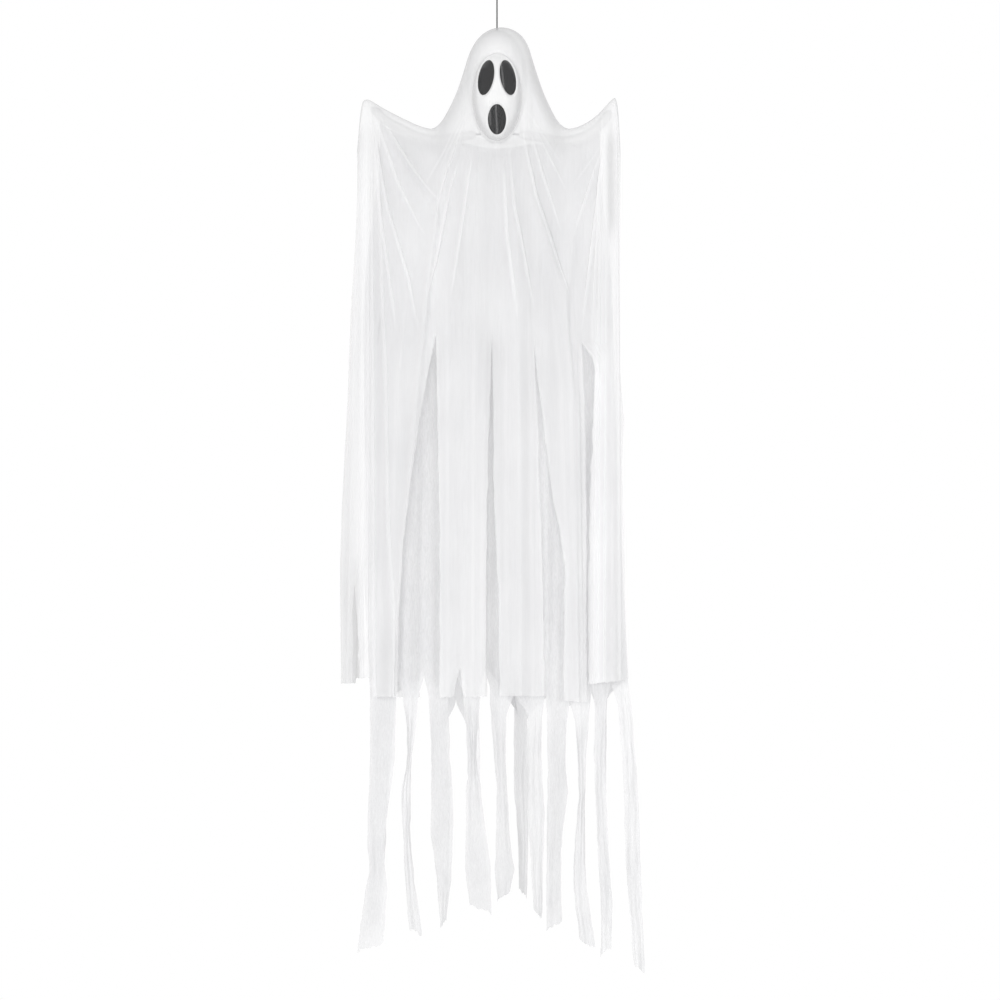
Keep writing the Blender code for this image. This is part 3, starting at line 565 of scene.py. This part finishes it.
def veil_panel(half, p, ridge_x, ridge_y):
    """One panel of the veil between two seams, as a grid of points, columns first."""
    wide = len(ridge_x) - 1
    share = (np.arange(wide + 1) / wide)[:, None]

    def across(y):
        left = read(half.seams[p], y, 2) + frayed(y, p, 5)
        right = read(half.seams[p + 1], y) + frayed(y, p + 1, 6)
        return (1 - share) * left + share * right

    level = read(VEIL_LEVEL, across(np.full((wide + 1, 1), SLIT_Y)))[:, 0]
    foot = across(np.full((wide + 1, 1), HEM_Y))[:, 0]
    hem = read(VEIL_HEM, foot) + HEM_FRAY * rough_field(foot / 3, 3.0, 8)
    upper = row_heights(ridge_x, ridge_y, level, 0.0, half.rows, half.cap_rows)
    y = np.concatenate([upper, rows_between(level, hem, half.lower_rows)], axis=1)
    points = veil_point(settled(ridge_x, ridge_y, across(y), y), y, half.side)
    points[:, 0, 1] = 0.0
    return points


def make_veil():
    cloth = Drape()
    ridge_x, ridge_y = ridge_places(VEIL_RIDGE, VEIL_COLUMNS, VEIL_RIDGE_X)
    panels = len(VEIL_COLUMNS) - 1
    for half in VEIL_SIDES:
        split = half.rows + int(half.lower_rows * (SPLIT_TOP - 330) / 350)
        cuts = [math.inf, split, *[half.rows] * (panels - 2), math.inf]
        for p in range(panels):
            first, last = VEIL_COLUMNS[p], VEIL_COLUMNS[p + 1]
            points = veil_panel(half, p, ridge_x[first : last + 1], ridge_y[first : last + 1])
            names = point_names(half.side, first, last - first, cuts[p], cuts[p + 1])
            cloth.weave(points, names, half.side)
    return cloth.make("veil_cloth")


def robe_point(x, y, side):
    """Where the robe's body lies at a picture point: wavy and crinkled, inside the veil."""
    below = y - read(ROBE_RIDGE, x)
    amount = ROBE_WAVE * step(25, 250, below)
    wave = np.sin((x - CORD_X) * 0.235 + side * 0.7) + 0.4 * np.sin((x - CORD_X) * 0.53 + y * 0.006)
    crinkle = np.abs(rough_field(x / 7.0, y / 16.0, 21 + side, 4))
    depth = drape_depth(x, y, ROBE_RIDGE, LAYER_GAP, 0.85) - amount * (1.4 + wave) / 2.8
    depth = depth - ROBE_CRINKLE * crinkle * step(4, 40, below)
    # Painted shade on the robe's front, darker along its slits where shadow would fall
    shade = painted_shade_at(x, y, ROBE_PAINTED_SHADE) if side < 0 else 0.0
    parts = to_x(x), side * np.maximum(depth, ROBE_LEAST), to_z(y), 0.0, shade
    return np.stack(np.broadcast_arrays(*parts), axis=-1)


def streamer_point(strip, share, y, side, number, top):
    """A streamer that turns a little about its own length, pleated where it looks narrow."""
    left, right = read(strip, y, 1), read(strip, y, 2)
    eased = step(0, 60, y - top)
    left = left + STREAMER_FRAY * rough_field(y / 14, number * 3.0 + side, 31) * eased
    right = right + STREAMER_FRAY * rough_field(y / 14, number * 5.0 + side, 32) * eased
    half = (right - left) / 2
    turned = np.sqrt(np.maximum(np.maximum(STREAMER_FLAT, half) ** 2 - half**2, 0.0)) * GRID
    flip = 1 if number % 2 else -1
    depth = side * drape_depth((left + right) / 2, y, ROBE_RIDGE, LAYER_GAP + STREAMER_INSET)
    sway = STREAMER_SWAY * np.sin(0.021 * (y - top) + 1.7 * number) * eased
    cup = STREAMER_CUP * np.cos(math.pi * (share - 0.5)) * np.sin(0.035 * y + number) * eased
    pleats = np.sin(14 * share + 0.012 * y + 2.0 * number + 1.2 * rough_field(share * 2, y / 60, 34))
    crinkle = STREAMER_CRINKLE * rough_field(share * 7 + number * 9, y / 22.0, 33 + side, 4)
    y_m = depth + sway + 0.4 * flip * turned * (2 * share - 1) * eased + cup
    y_m = y_m + (0.02 * turned + 0.0002) * pleats * eased + crinkle
    x_m = to_x(left + (right - left) * share)
    # Each streamer carries its painted shade, eased in below the robe's body
    parts = x_m, y_m, to_z(y), 0.0, STREAMER_PAINTED_SHADE[side][number] * eased
    return np.stack(np.broadcast_arrays(*parts), axis=-1)


def robe_panel(half, p, ridge_x, ridge_y):
    """One strip of the robe, from the fold line to its streamer's end, columns first."""
    strip, wide = half.strips[p], len(ridge_x) - 1
    share = (np.arange(wide + 1) / wide)[:, None]

    def across(y):
        left = half.cuts[p - 1] if p else read(ROBE_EDGE_LEFT, y)
        right = half.cuts[p] if p < len(half.cuts) else read(ROBE_EDGE_RIGHT, y)
        return (1 - share) * left + share * right + 0 * y

    level = read(half.levels, across(np.full((wide + 1, 1), ROBE_BODY_Y)))[:, 0]
    slant = (4 if p % 2 else -4) * (2 * share[:, 0] - 1)
    end = strip[-1][0] + slant + STREAMER_END_FRAY * rough_field(share[:, 0] * 6, p * 4.0, 41)
    upper = row_heights(ridge_x, ridge_y, level, LAYER_GAP, half.rows, half.cap_rows)
    body = robe_point(settled(ridge_x, ridge_y, across(upper), upper), upper, half.side)
    body[:, 0, 1] = 0.0
    y = rows_between(level, end, half.lower_rows)
    free = streamer_point(strip, share, y, half.side, p, level[:, None])
    held = robe_point(across(y), y, half.side)
    ease = step(0, 28, y - level[:, None])[..., None]
    return np.concatenate([body, (1 - ease) * held + ease * free], axis=1)


def make_robe():
    cloth = Drape()
    pieces = len(ROBE_RIDGE_X) - 1
    columns = [i * ROBE_STEP for i in range(pieces + 1)]
    ridge_x, ridge_y = ridge_places(ROBE_RIDGE, columns, ROBE_RIDGE_X)
    for half in ROBE_SIDES:
        wide = columns[-1] // len(half.strips)
        for p in range(len(half.strips)):
            first, last = p * wide, (p + 1) * wide
            points = robe_panel(half, p, ridge_x[first : last + 1], ridge_y[first : last + 1])
            names = point_names(half.side, first, wide, half.rows, half.rows)
            cloth.weave(points, names, half.side)
    return cloth.make("robe_cloth")


# Materials. A colour pair is its pale and its dull tone
VEIL_WHITE = ((0.935, 0.935, 0.94), (0.91, 0.91, 0.915))
ROBE_WHITE = ((0.90, 0.90, 0.905), (0.81, 0.81, 0.82))
WADDING = ((0.79, 0.79, 0.79), (0.75, 0.75, 0.75))
HEAD_WHITE = ((0.95, 0.95, 0.95), (0.92, 0.92, 0.925))
MASK_WHITE = ((0.755, 0.755, 0.755), (0.73, 0.73, 0.735))
FLOOR_WHITE = ((0.88, 0.88, 0.88), (0.86, 0.86, 0.86))
BLACK = ((0.020, 0.020, 0.021), (0.010, 0.010, 0.011))
STEEL = ((0.42, 0.42, 0.43), (0.36, 0.36, 0.37))
# Share of the light on a cloth that goes through it
GLOW_SHARE = 0.35


class Look:
    """A procedural material being built, with short names for its nodes."""

    def __init__(self, name):
        self.material = bpy.data.materials.new(name)
        self.material.use_nodes = True
        self.tree = self.material.node_tree
        self.tree.nodes.clear()

    def add(self, kind, sockets=(), **values):
        """A new node. Each socket is joined to another node's output or set to a number."""
        node = self.tree.nodes.new(kind)
        for key, value in values.items():
            setattr(node, key, value)
        for key, value in dict(sockets).items():
            if hasattr(value, "is_output"):
                self.tree.links.new(value, node.inputs[key])
            else:
                node.inputs[key].default_value = value
        return node

    def where(self):
        """The place on the object."""
        return self.add("ShaderNodeTexCoord").outputs["Object"]

    def marked(self, name):
        """The number that the mesh's points carry under this name."""
        return self.add("ShaderNodeAttribute", attribute_name=name).outputs["Fac"]

    def noise(self, scale, size, detail, rough=0.55, swirl=0.0):
        """Noise over the object, stretched by the scale."""
        mapping = self.add("ShaderNodeMapping", {"Vector": self.where(), "Scale": scale})
        texture = self.add("ShaderNodeTexNoise", {
            "Vector": mapping.outputs["Vector"], "Scale": size, "Detail": detail,
            "Roughness": rough, "Distortion": swirl,
        })
        return texture.outputs["Fac"]

    def ramp(self, value, stops):
        """Turns a value into the stops' colours, or into their plain numbers."""
        node = self.add("ShaderNodeValToRGB", {"Fac": value})
        line = node.color_ramp
        while len(line.elements) < len(stops):
            line.elements.new(0.5)
        for element, (place, colour) in zip(line.elements, stops):
            element.position = place
            element.color = (*(colour if isinstance(colour, tuple) else (colour,) * 3), 1.0)
        return node.outputs["Color"]

    def maths(self, operation, a, b):
        return self.add("ShaderNodeMath", {0: a, 1: b}, operation=operation).outputs[0]

    def bump(self, height, strength, distance):
        sockets = {"Height": height, "Strength": strength, "Distance": distance}
        return self.add("ShaderNodeBump", sockets).outputs["Normal"]

    def principled(self, colour, rough, normal, sheen=0.0):
        sockets = {"Base Color": colour, "Roughness": rough, "Sheen Weight": sheen}
        if normal:
            sockets["Normal"] = normal
        return self.add("ShaderNodeBsdfPrincipled", sockets).outputs[0]

    def mix(self, share, first, second):
        return self.add("ShaderNodeMixShader", {0: share, 1: first, 2: second}).outputs[0]

    def finish(self, shader):
        self.add("ShaderNodeOutputMaterial", {"Surface": shader})
        return self.material


def painted_shade_tint(look, colour):
    """The colour, darkened by the painted shade that the cloth's points carry."""
    kept = look.maths("SUBTRACT", 1.0, look.marked("shade"))
    lit = look.add("ShaderNodeCombineColor", {0: kept, 1: kept, 2: kept})
    # The mix of two colours has its share in socket 0 and the colours in 6 and 7
    tint = look.add("ShaderNodeMix", {0: 1.0, 6: colour, 7: lit.outputs[0]},
                    data_type="RGBA", blend_type="MULTIPLY")
    return tint.outputs[2]


def layered(look, dense):
    """How dense the cloth is with its extra layers, nearly clear where it is stretched."""
    count = look.maths("ADD", look.marked("layers"), 1.0)
    gap = look.maths("POWER", look.maths("SUBTRACT", 1.0, dense), count)
    kept = look.maths("ADD", look.maths("MULTIPLY", look.marked("stretched"), -CLEARED), 1.0)
    return look.maths("MULTIPLY", look.maths("SUBTRACT", 1.0, gap), kept)


def cloth_look(name, pale, dull, cover, spread, grain, threads, swirl=0.0, sheer=False):
    """Thin cloth: lit on its face, glowing through, and open between its threads."""
    look = Look(name)
    blotch = look.noise((9, 9, 5), 1.6, 5.0)
    # The cloth's colour, darkened by the painted shade from its points
    colour = painted_shade_tint(look, look.ramp(blotch, ((0.30, dull), (0.70, pale))))
    weave = look.noise(threads, 1.0, 5.0, 0.6, swirl)
    sockets = {"Color": colour, "Normal": look.bump(weave, grain, 0.0012)}
    diffuse = look.add("ShaderNodeBsdfDiffuse", sockets)
    glow = look.add("ShaderNodeBsdfTranslucent", sockets)
    cloth = look.mix(GLOW_SHARE, diffuse.outputs[0], glow.outputs[0])
    dense = look.ramp(weave, ((0.30, cover - spread), (0.70, cover + spread)))
    if sheer:
        dense = layered(look, dense)
    clear = look.add("ShaderNodeBsdfTransparent")
    return look.finish(look.mix(dense, clear.outputs[0], cloth))


def plain_look(name, pale, dull, rough, size, grain, sheen=0.0):
    """A solid surface with fine grain, uneven in colour and in shine."""
    look = Look(name)
    colour = look.ramp(look.noise((1, 1, 1), size, 5.0), ((0.3, dull), (0.7, pale)))
    uneven = look.noise((1, 1, 1), size * 2.3, 3.0)
    shine = look.ramp(uneven, ((0.3, rough - 0.06), (0.7, rough + 0.06)))
    normal = look.bump(look.noise((1, 1, 1), size * 6, 4.0), grain, 0.0006)
    return look.finish(look.principled(colour, shine, normal, sheen))


def floor_look(name, pale, dull, reach):
    """A pale floor that fades into the white around it."""
    look = Look(name)
    colour = look.ramp(look.noise((1, 1, 1), 2, 5.0), ((0.3, dull), (0.7, pale)))
    away = look.add("ShaderNodeVectorMath", {0: look.where()}, operation="LENGTH")
    share = look.maths("DIVIDE", away.outputs["Value"], reach)
    shown = look.ramp(share, ((0.2, 1.0), (0.95, 0.0)))
    clear = look.add("ShaderNodeBsdfTransparent")
    return look.finish(look.mix(shown, clear.outputs[0], look.principled(colour, 0.9, None)))


def cord_look(name):
    """Twisted black cord: pale slanting plies in a dark ground."""
    look = Look(name)
    sockets = {"Vector": look.where(), "Scale": 130, "Distortion": 0.4}
    twist = look.add("ShaderNodeTexWave", sockets, wave_type="BANDS", bands_direction="DIAGONAL")
    ply = twist.outputs["Fac"]
    colour = look.ramp(ply, ((0.25, (0.002, 0.002, 0.002)), (0.9, (0.02, 0.019, 0.02))))
    return look.finish(look.principled(colour, 0.75, look.bump(ply, 0.6, 0.0005)))


def paint(obj, material):
    """Gives an object its one material."""
    obj.data.materials.clear()
    obj.data.materials.append(material)


def stretch_over_face(veil):
    """Marks where the veil is pulled thin over the face, but for its pulled threads."""
    places = np.empty(len(veil.data.vertices) * 3)
    veil.data.vertices.foreach_get("co", places)
    x, y, z = places.reshape(-1, 3).T
    reach = np.hypot(x / MASK_X, (z - MASK_Z) / MASK_HALF)
    amount = (1 - step(CLEAR_FROM, CLEAR_TO, reach)) * (y < 0)
    grid_x, grid_y = x / GRID + CORD_X, LOOP_TOP - z / GRID
    for line in FACE_THREADS:
        top, bottom = line[0][1], line[-1][1]
        inside = step(top - 3, top, grid_y) * (1 - step(bottom, bottom + 3, grid_y))
        thread = inside * bell(grid_x, line_x(line, grid_y), THREAD_WIDTH)
        amount = amount * (1 - THREAD_COVER * thread)
    marks = veil.data.attributes.new("stretched", "FLOAT", "POINT")
    marks.data.foreach_set("value", amount)


# Face
def head_depth(x, z):
    """Half the head's depth at a place seen from the front."""
    half = np.where(z > HEAD_Z, HEAD_UP, HEAD_DOWN)
    inside = 1 - (x / HEAD_X) ** 2 - ((z - HEAD_Z) / half) ** 2
    return HEAD_Y * np.sqrt(np.maximum(inside, 0.0))


# Openings: middle x and z, half width, half height and tilt
OPENINGS = (
    (-EYE_X, EYE_Z, EYE_RX, EYE_RZ, -EYE_TILT),
    (EYE_X, EYE_Z, EYE_RX, EYE_RZ, EYE_TILT),
    (0.0, MOUTH_Z, MOUTH_RX, MOUTH_RZ, 0.0),
)
# The face is sunk a little, its edge rolls in from this share of its reach, and each opening has
# a lip that stands out before it turns in
FACE_SINK, EDGE_ROLL, LIP_OUT, LIP_IN = 0.0010, 0.80, 0.0005, 0.0014
# Nose, cheeks and chin: middle x and z, half width, half height, and how far they stand out
FACE_FORMS = (
    (0.0, -0.192, 0.006, 0.022, 0.0012),
    (-0.020, -0.216, 0.011, 0.013, 0.0009),
    (0.020, -0.216, 0.011, 0.013, 0.0009),
    (0.0, -0.268, 0.016, 0.006, 0.0008),
)


def opening_place(x, z, opening):
    """Where x, z lies in an opening's own frame, its edge at distance 1."""
    mid_x, mid_z, wide, tall, tilt = opening
    a = (x - mid_x) * np.cos(tilt) + (z - mid_z) * np.sin(tilt)
    b = (z - mid_z) * np.cos(tilt) - (x - mid_x) * np.sin(tilt)
    return a / wide, b / tall


def mask_relief(x, z, share):
    """How far the face stands from the head: nose, cheeks and chin, with rolled edges."""
    relief = MASK_OUT - FACE_SINK + (MASK_EDGE - MASK_OUT) * step(EDGE_ROLL, 1.0, share)
    for mid_x, mid_z, wide, tall, out in FACE_FORMS:
        relief += out * bell(x, mid_x, wide) * bell(z, mid_z, tall)
    for opening in OPENINGS:
        reach = np.hypot(*opening_place(x, z, opening))
        relief += LIP_OUT * bell(reach, 1.22, 0.12) - LIP_IN * (1 - step(1.0, 1.14, reach))
    return relief


def cut_opening(x, z, quads, opening):
    """Drops the quads inside an opening and pulls the loose points onto its edge."""
    reach = np.hypot(*opening_place(x, z, opening))
    quads = quads[reach[quads].mean(axis=1) > 1]
    rim = np.intersect1d(quads, np.nonzero(reach < 1.10)[0])
    loose = rim[[np.count_nonzero(quads == v) < 4 for v in rim]]
    a, b = opening_place(x[loose], z[loose], opening)
    mid_x, mid_z, wide, tall, tilt = opening
    a, b = a / np.hypot(a, b) * wide, b / np.hypot(a, b) * tall
    x[loose] = mid_x + a * np.cos(tilt) - b * np.sin(tilt)
    z[loose] = mid_z + a * np.sin(tilt) + b * np.cos(tilt)
    return quads


def make_mask(rings=64, around=200):
    """The moulded face: rings round its middle, cut by the openings, with a wall's thickness."""
    share = np.linspace(0, 1, rings + 1)[1:, None]
    turn = np.arange(around)[None, :] * 2 * math.pi / around
    x = (MASK_X * share * np.cos(turn)).ravel()
    z = (MASK_Z + MASK_HALF * share * np.sin(turn)).ravel()
    quads = ring_quads(rings, around)
    for opening in OPENINGS:
        quads = cut_opening(x, z, quads, opening)
    y = -head_depth(x, z) - mask_relief(x, z, np.hypot(x / MASK_X, (z - MASK_Z) / MASK_HALF))
    used = np.unique(quads)
    renumber = np.zeros(len(x), int)
    renumber[used] = np.arange(len(used))
    middle = renumber[:around]
    mask = new_mesh("face_shell", np.stack([x, y, z], axis=1)[used], [*renumber[quads], middle])
    shell = mask.modifiers.new("Thickness", "SOLIDIFY")
    shell.thickness = MASK_WALL
    shell.offset = -1.0
    return mask


# Arms
def smooth_line(points, count):
    """Evenly spaced points on a rounded line through the given ones."""
    ends = [2 * points[0] - points[1], *points, 2 * points[-1] - points[-2]]
    fine = []
    for i in range(1, len(ends) - 2):
        a, b, c, d = ends[i - 1 : i + 3]
        for t in np.arange(0, 1, 0.1):
            even, odd = 2 * a - 5 * b + 4 * c - d, 3 * b - a - 3 * c + d
            fine.append(0.5 * (2 * b + (c - a) * t + even * t**2 + odd * t**3))
    fine = np.array([*fine, points[-1]])
    along = np.concatenate([[0], np.cumsum(np.linalg.norm(np.diff(fine, axis=0), axis=1))])
    places = np.linspace(0, along[-1], count)
    return np.stack([np.interp(places, along, fine[:, k]) for k in range(3)], axis=1)


def arm_point(x, y):
    """A place on the arm's line: level with the cloth at the hand, with the wire at the head."""
    return np.array((to_x(x), WIRE_Y * (1 - step(25, 90, abs(x - CORD_X))), to_z(y)))


def arm_line(count):
    """The middle of the wire and its sleeves, from hand to hand through the head."""
    left, right = ([arm_point(x, y) for x, y in line] for line in (ARM_LEFT, ARM_RIGHT))
    middle = [np.array((x, WIRE_Y, WIRE_Z)) for x in WIRE_STRAIGHT]
    return smooth_line(left + middle + right[::-1], count)


def make_sleeve(name, route, seed, around=28):
    """A wadded sleeve: puckered, rounded at the hand, drawn in at its open end."""
    count = len(route)
    gone = np.linspace(0, 1, count)
    puckers = rough_field(gone[:, None] * 34, np.arange(around)[None, :] / around * 5, seed)
    hand = np.sqrt(np.clip(gone / 0.05, 0.02, 1))
    end = 1 - 0.4 * step(0.965, 1.0, gone)
    radius = SLEEVE_R * (hand * end)[:, None] * (1.0 + 0.07 * puckers)
    verts = []
    for i, middle in enumerate(route):
        along = Vector(route[min(i + 1, count - 1)] - route[max(i - 1, 0)])
        turn = along.to_track_quat("Z", "Y")
        for j in range(around):
            angle = 2 * math.pi * j / around
            offset = Vector((math.cos(angle), math.sin(angle), 0)) * float(radius[i, j])
            verts.append(tuple(Vector(middle) + turn @ offset))
    tip = len(verts)
    outward = (route[0] - route[1]) / np.linalg.norm(route[1] - route[0])
    verts.append(tuple(route[0] + outward * SLEEVE_TIP))
    side = ring_quads(count, around)[:, [0, 3, 2, 1]]
    return new_mesh(name, verts, [*side, *((tip, (j + 1) % around, j) for j in range(around))])


# Cords
def cord_curve(name, points):
    """A cord along the given points, as a curve with a round section."""
    curve = bpy.data.curves.new(name, "CURVE")
    curve.dimensions = "3D"
    curve.bevel_depth = CORD_R
    curve.bevel_resolution = 4
    curve.use_fill_caps = True
    line = curve.splines.new("POLY")
    line.points.add(len(points) - 1)
    for spot, point in zip(line.points, points):
        spot.co = (*point, 1.0)
    line.use_smooth = True
    return add_object(name, curve)


def straight_route(count=60):
    """The cord from the knot in the head up to the loop's knot."""
    top, bottom = KNOT_Z - KNOT_HALF - GAP, ANCHOR_Z + ANCHOR_HALF + GAP
    return [(0.0, 0.0, bottom + (top - bottom) * i / count) for i in range(count + 1)]


def loop_route(count=48):
    """The loop: up from its knot, round the top, and down to the knot again."""
    start = KNOT_Z + KNOT_HALF + GAP
    route = []
    for i in range(count + 1):
        turn = 2 * math.pi * i / count
        rise = (1 - math.cos(turn)) / 2
        narrow = LOOP_NARROW + (1 - LOOP_NARROW) * math.sqrt(max(rise, 0.0))
        side = LOOP_HALF_WIDTH * (math.sin(turn) if 0 < i < count else 0.0) * narrow
        ends = LOOP_ENDS * (1 - rise) * (1 if i < count / 2 else -1)
        route.append((side + ends, 0.0, start + (-CORD_R - start) * rise))
    return route


# Pieces
def dress(obj, material, slot, *stands_for):
    """Paints a piece, and lets it take the place of the part's nodes and ride with them."""
    paint(obj, material)
    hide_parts(*stands_for)
    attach(obj, "root")


veil = make_veil()
stretch_over_face(veil)
voile = cloth_look("veil_voile", *VEIL_WHITE, cover=0.52, spread=0.012, grain=0.07,
                   threads=(900, 900, 16), sheer=True)
dress(veil, voile, "veil", "outer_veil")
robe = make_robe()
gauze = cloth_look("robe_gauze", *ROBE_WHITE, cover=0.84, spread=0.07, grain=0.8,
                   threads=(400, 400, 70), swirl=0.9)
dress(robe, gauze, "robe", "inner_robe")

moulded = plain_look("mask_white", *MASK_WHITE, rough=0.5, size=90, grain=0.10)
dress(make_mask(), moulded, "mask", "face_mask")

wadding = plain_look("sleeve_wadding", *WADDING, rough=0.9, size=200, grain=0.8, sheen=0.2)
arms = arm_line(420)
left_end, right_end = (to_x(x) for x in SLEEVE_ENDS)
sleeves = [
    make_sleeve("left_arm_padding", arms[arms[:, 0] < left_end], 51),
    make_sleeve("right_arm_padding", arms[::-1][arms[::-1, 0] > right_end], 52),
]
for sleeve, node in zip(sleeves, ("arm_sleeve_left", "arm_sleeve_right")):
    dress(sleeve, wadding, "wadding", node)

cord_black = cord_look("cord_black")
straight, loop = straight_route(), loop_route()
main_cord = cord_curve("cord_line", straight)
loop_cord = cord_curve("cord_loop", loop)
dress(main_cord, cord_black, "cord", "hanging_cord")
dress(loop_cord, cord_black, "cord", "hanging_loop")

foam = plain_look("head_foam", *HEAD_WHITE, rough=0.85, size=160, grain=0.5)
paint(nodes["head_form"], foam)
black_cloth = plain_look("patch_black", *BLACK, rough=0.9, size=300, grain=0.5)
for name in ("eye_patch_left", "eye_patch_right", "mouth_patch"):
    paint(nodes[name], black_cloth)
steel = plain_look("wire_steel", *STEEL, rough=0.4, size=120, grain=0.1)
paint(nodes["arm_wire"], steel)
for name in ("loop_knot", "anchor_knot"):
    paint(nodes[name], cord_black)


# Studio
MIDDLE = (0.0048, 0.0, -0.848)
WORLD_LIGHT, WORLD_SEEN = 0.58, 1.0
# Lamps: name, place, size in metres and power in watts
LAMPS = (
    ("key", (-1.5, -3.2, -0.2), 1.6, 56),
    ("fill", (1.7, -3.2, -0.9), 2.0, 44),
    ("back", (0.4, 3.2, -0.4), 1.8, 32),
)
FLOOR_Z, FLOOR_REACH, FLOOR_CORNERS = -1.78, 2.6, 96
VIEW_WIDTH, VIEW_AWAY = 1.6, 5.0


def make_world():
    """A white studio: pure white where the camera sees past the ghost, softer as a lamp."""
    world = bpy.data.worlds.new("studio")
    bpy.context.scene.world = world
    world.use_nodes = True
    tree = world.node_tree
    tree.nodes.clear()
    out = tree.nodes.new("ShaderNodeOutputWorld")
    rays = tree.nodes.new("ShaderNodeLightPath")
    mix = tree.nodes.new("ShaderNodeMixShader")
    for strength, socket in ((WORLD_LIGHT, mix.inputs[1]), (WORLD_SEEN, mix.inputs[2])):
        white = tree.nodes.new("ShaderNodeBackground")
        white.inputs["Color"].default_value = (1.0, 1.0, 1.0, 1.0)
        white.inputs["Strength"].default_value = strength
        tree.links.new(white.outputs[0], socket)
    tree.links.new(rays.outputs["Is Camera Ray"], mix.inputs["Fac"])
    tree.links.new(mix.outputs[0], out.inputs["Surface"])


def area_lamp(name, location, aim, size, power):
    """A square lamp at a place, turned to what it lights."""
    data = bpy.data.lights.new(name, "AREA")
    data.size = size
    data.energy = power
    lamp = add_object(name, data)
    lamp.location = location
    lamp.rotation_euler = (Vector(aim) - Vector(location)).to_track_quat("-Z", "Y").to_euler()


def make_floor():
    """A round pale floor below the streamers, clear at its rim."""
    turns = [2 * math.pi * i / FLOOR_CORNERS for i in range(FLOOR_CORNERS)]
    rim = [(FLOOR_REACH * math.cos(turn), FLOOR_REACH * math.sin(turn), 0) for turn in turns]
    floor = new_mesh("floor", rim, [range(FLOOR_CORNERS)])
    floor.location = (0, 0, FLOOR_Z)
    floor.data.materials.append(floor_look("floor_white", *FLOOR_WHITE, FLOOR_REACH))


def make_camera():
    """Looks level at the ghost's middle from the front."""
    data = bpy.data.cameras.new("camera")
    data.type = "ORTHO"
    data.ortho_scale = VIEW_WIDTH
    camera = add_object("camera", data)
    camera.location = (MIDDLE[0], -VIEW_AWAY, MIDDLE[2])
    camera.rotation_euler = (math.radians(90), 0, 0)
    bpy.context.scene.camera = camera


make_world()
for name, location, size, power in LAMPS:
    area_lamp(name, location, MIDDLE, size, power)
make_floor()
make_camera()
bpy.context.scene.view_settings.view_transform = "Standard"
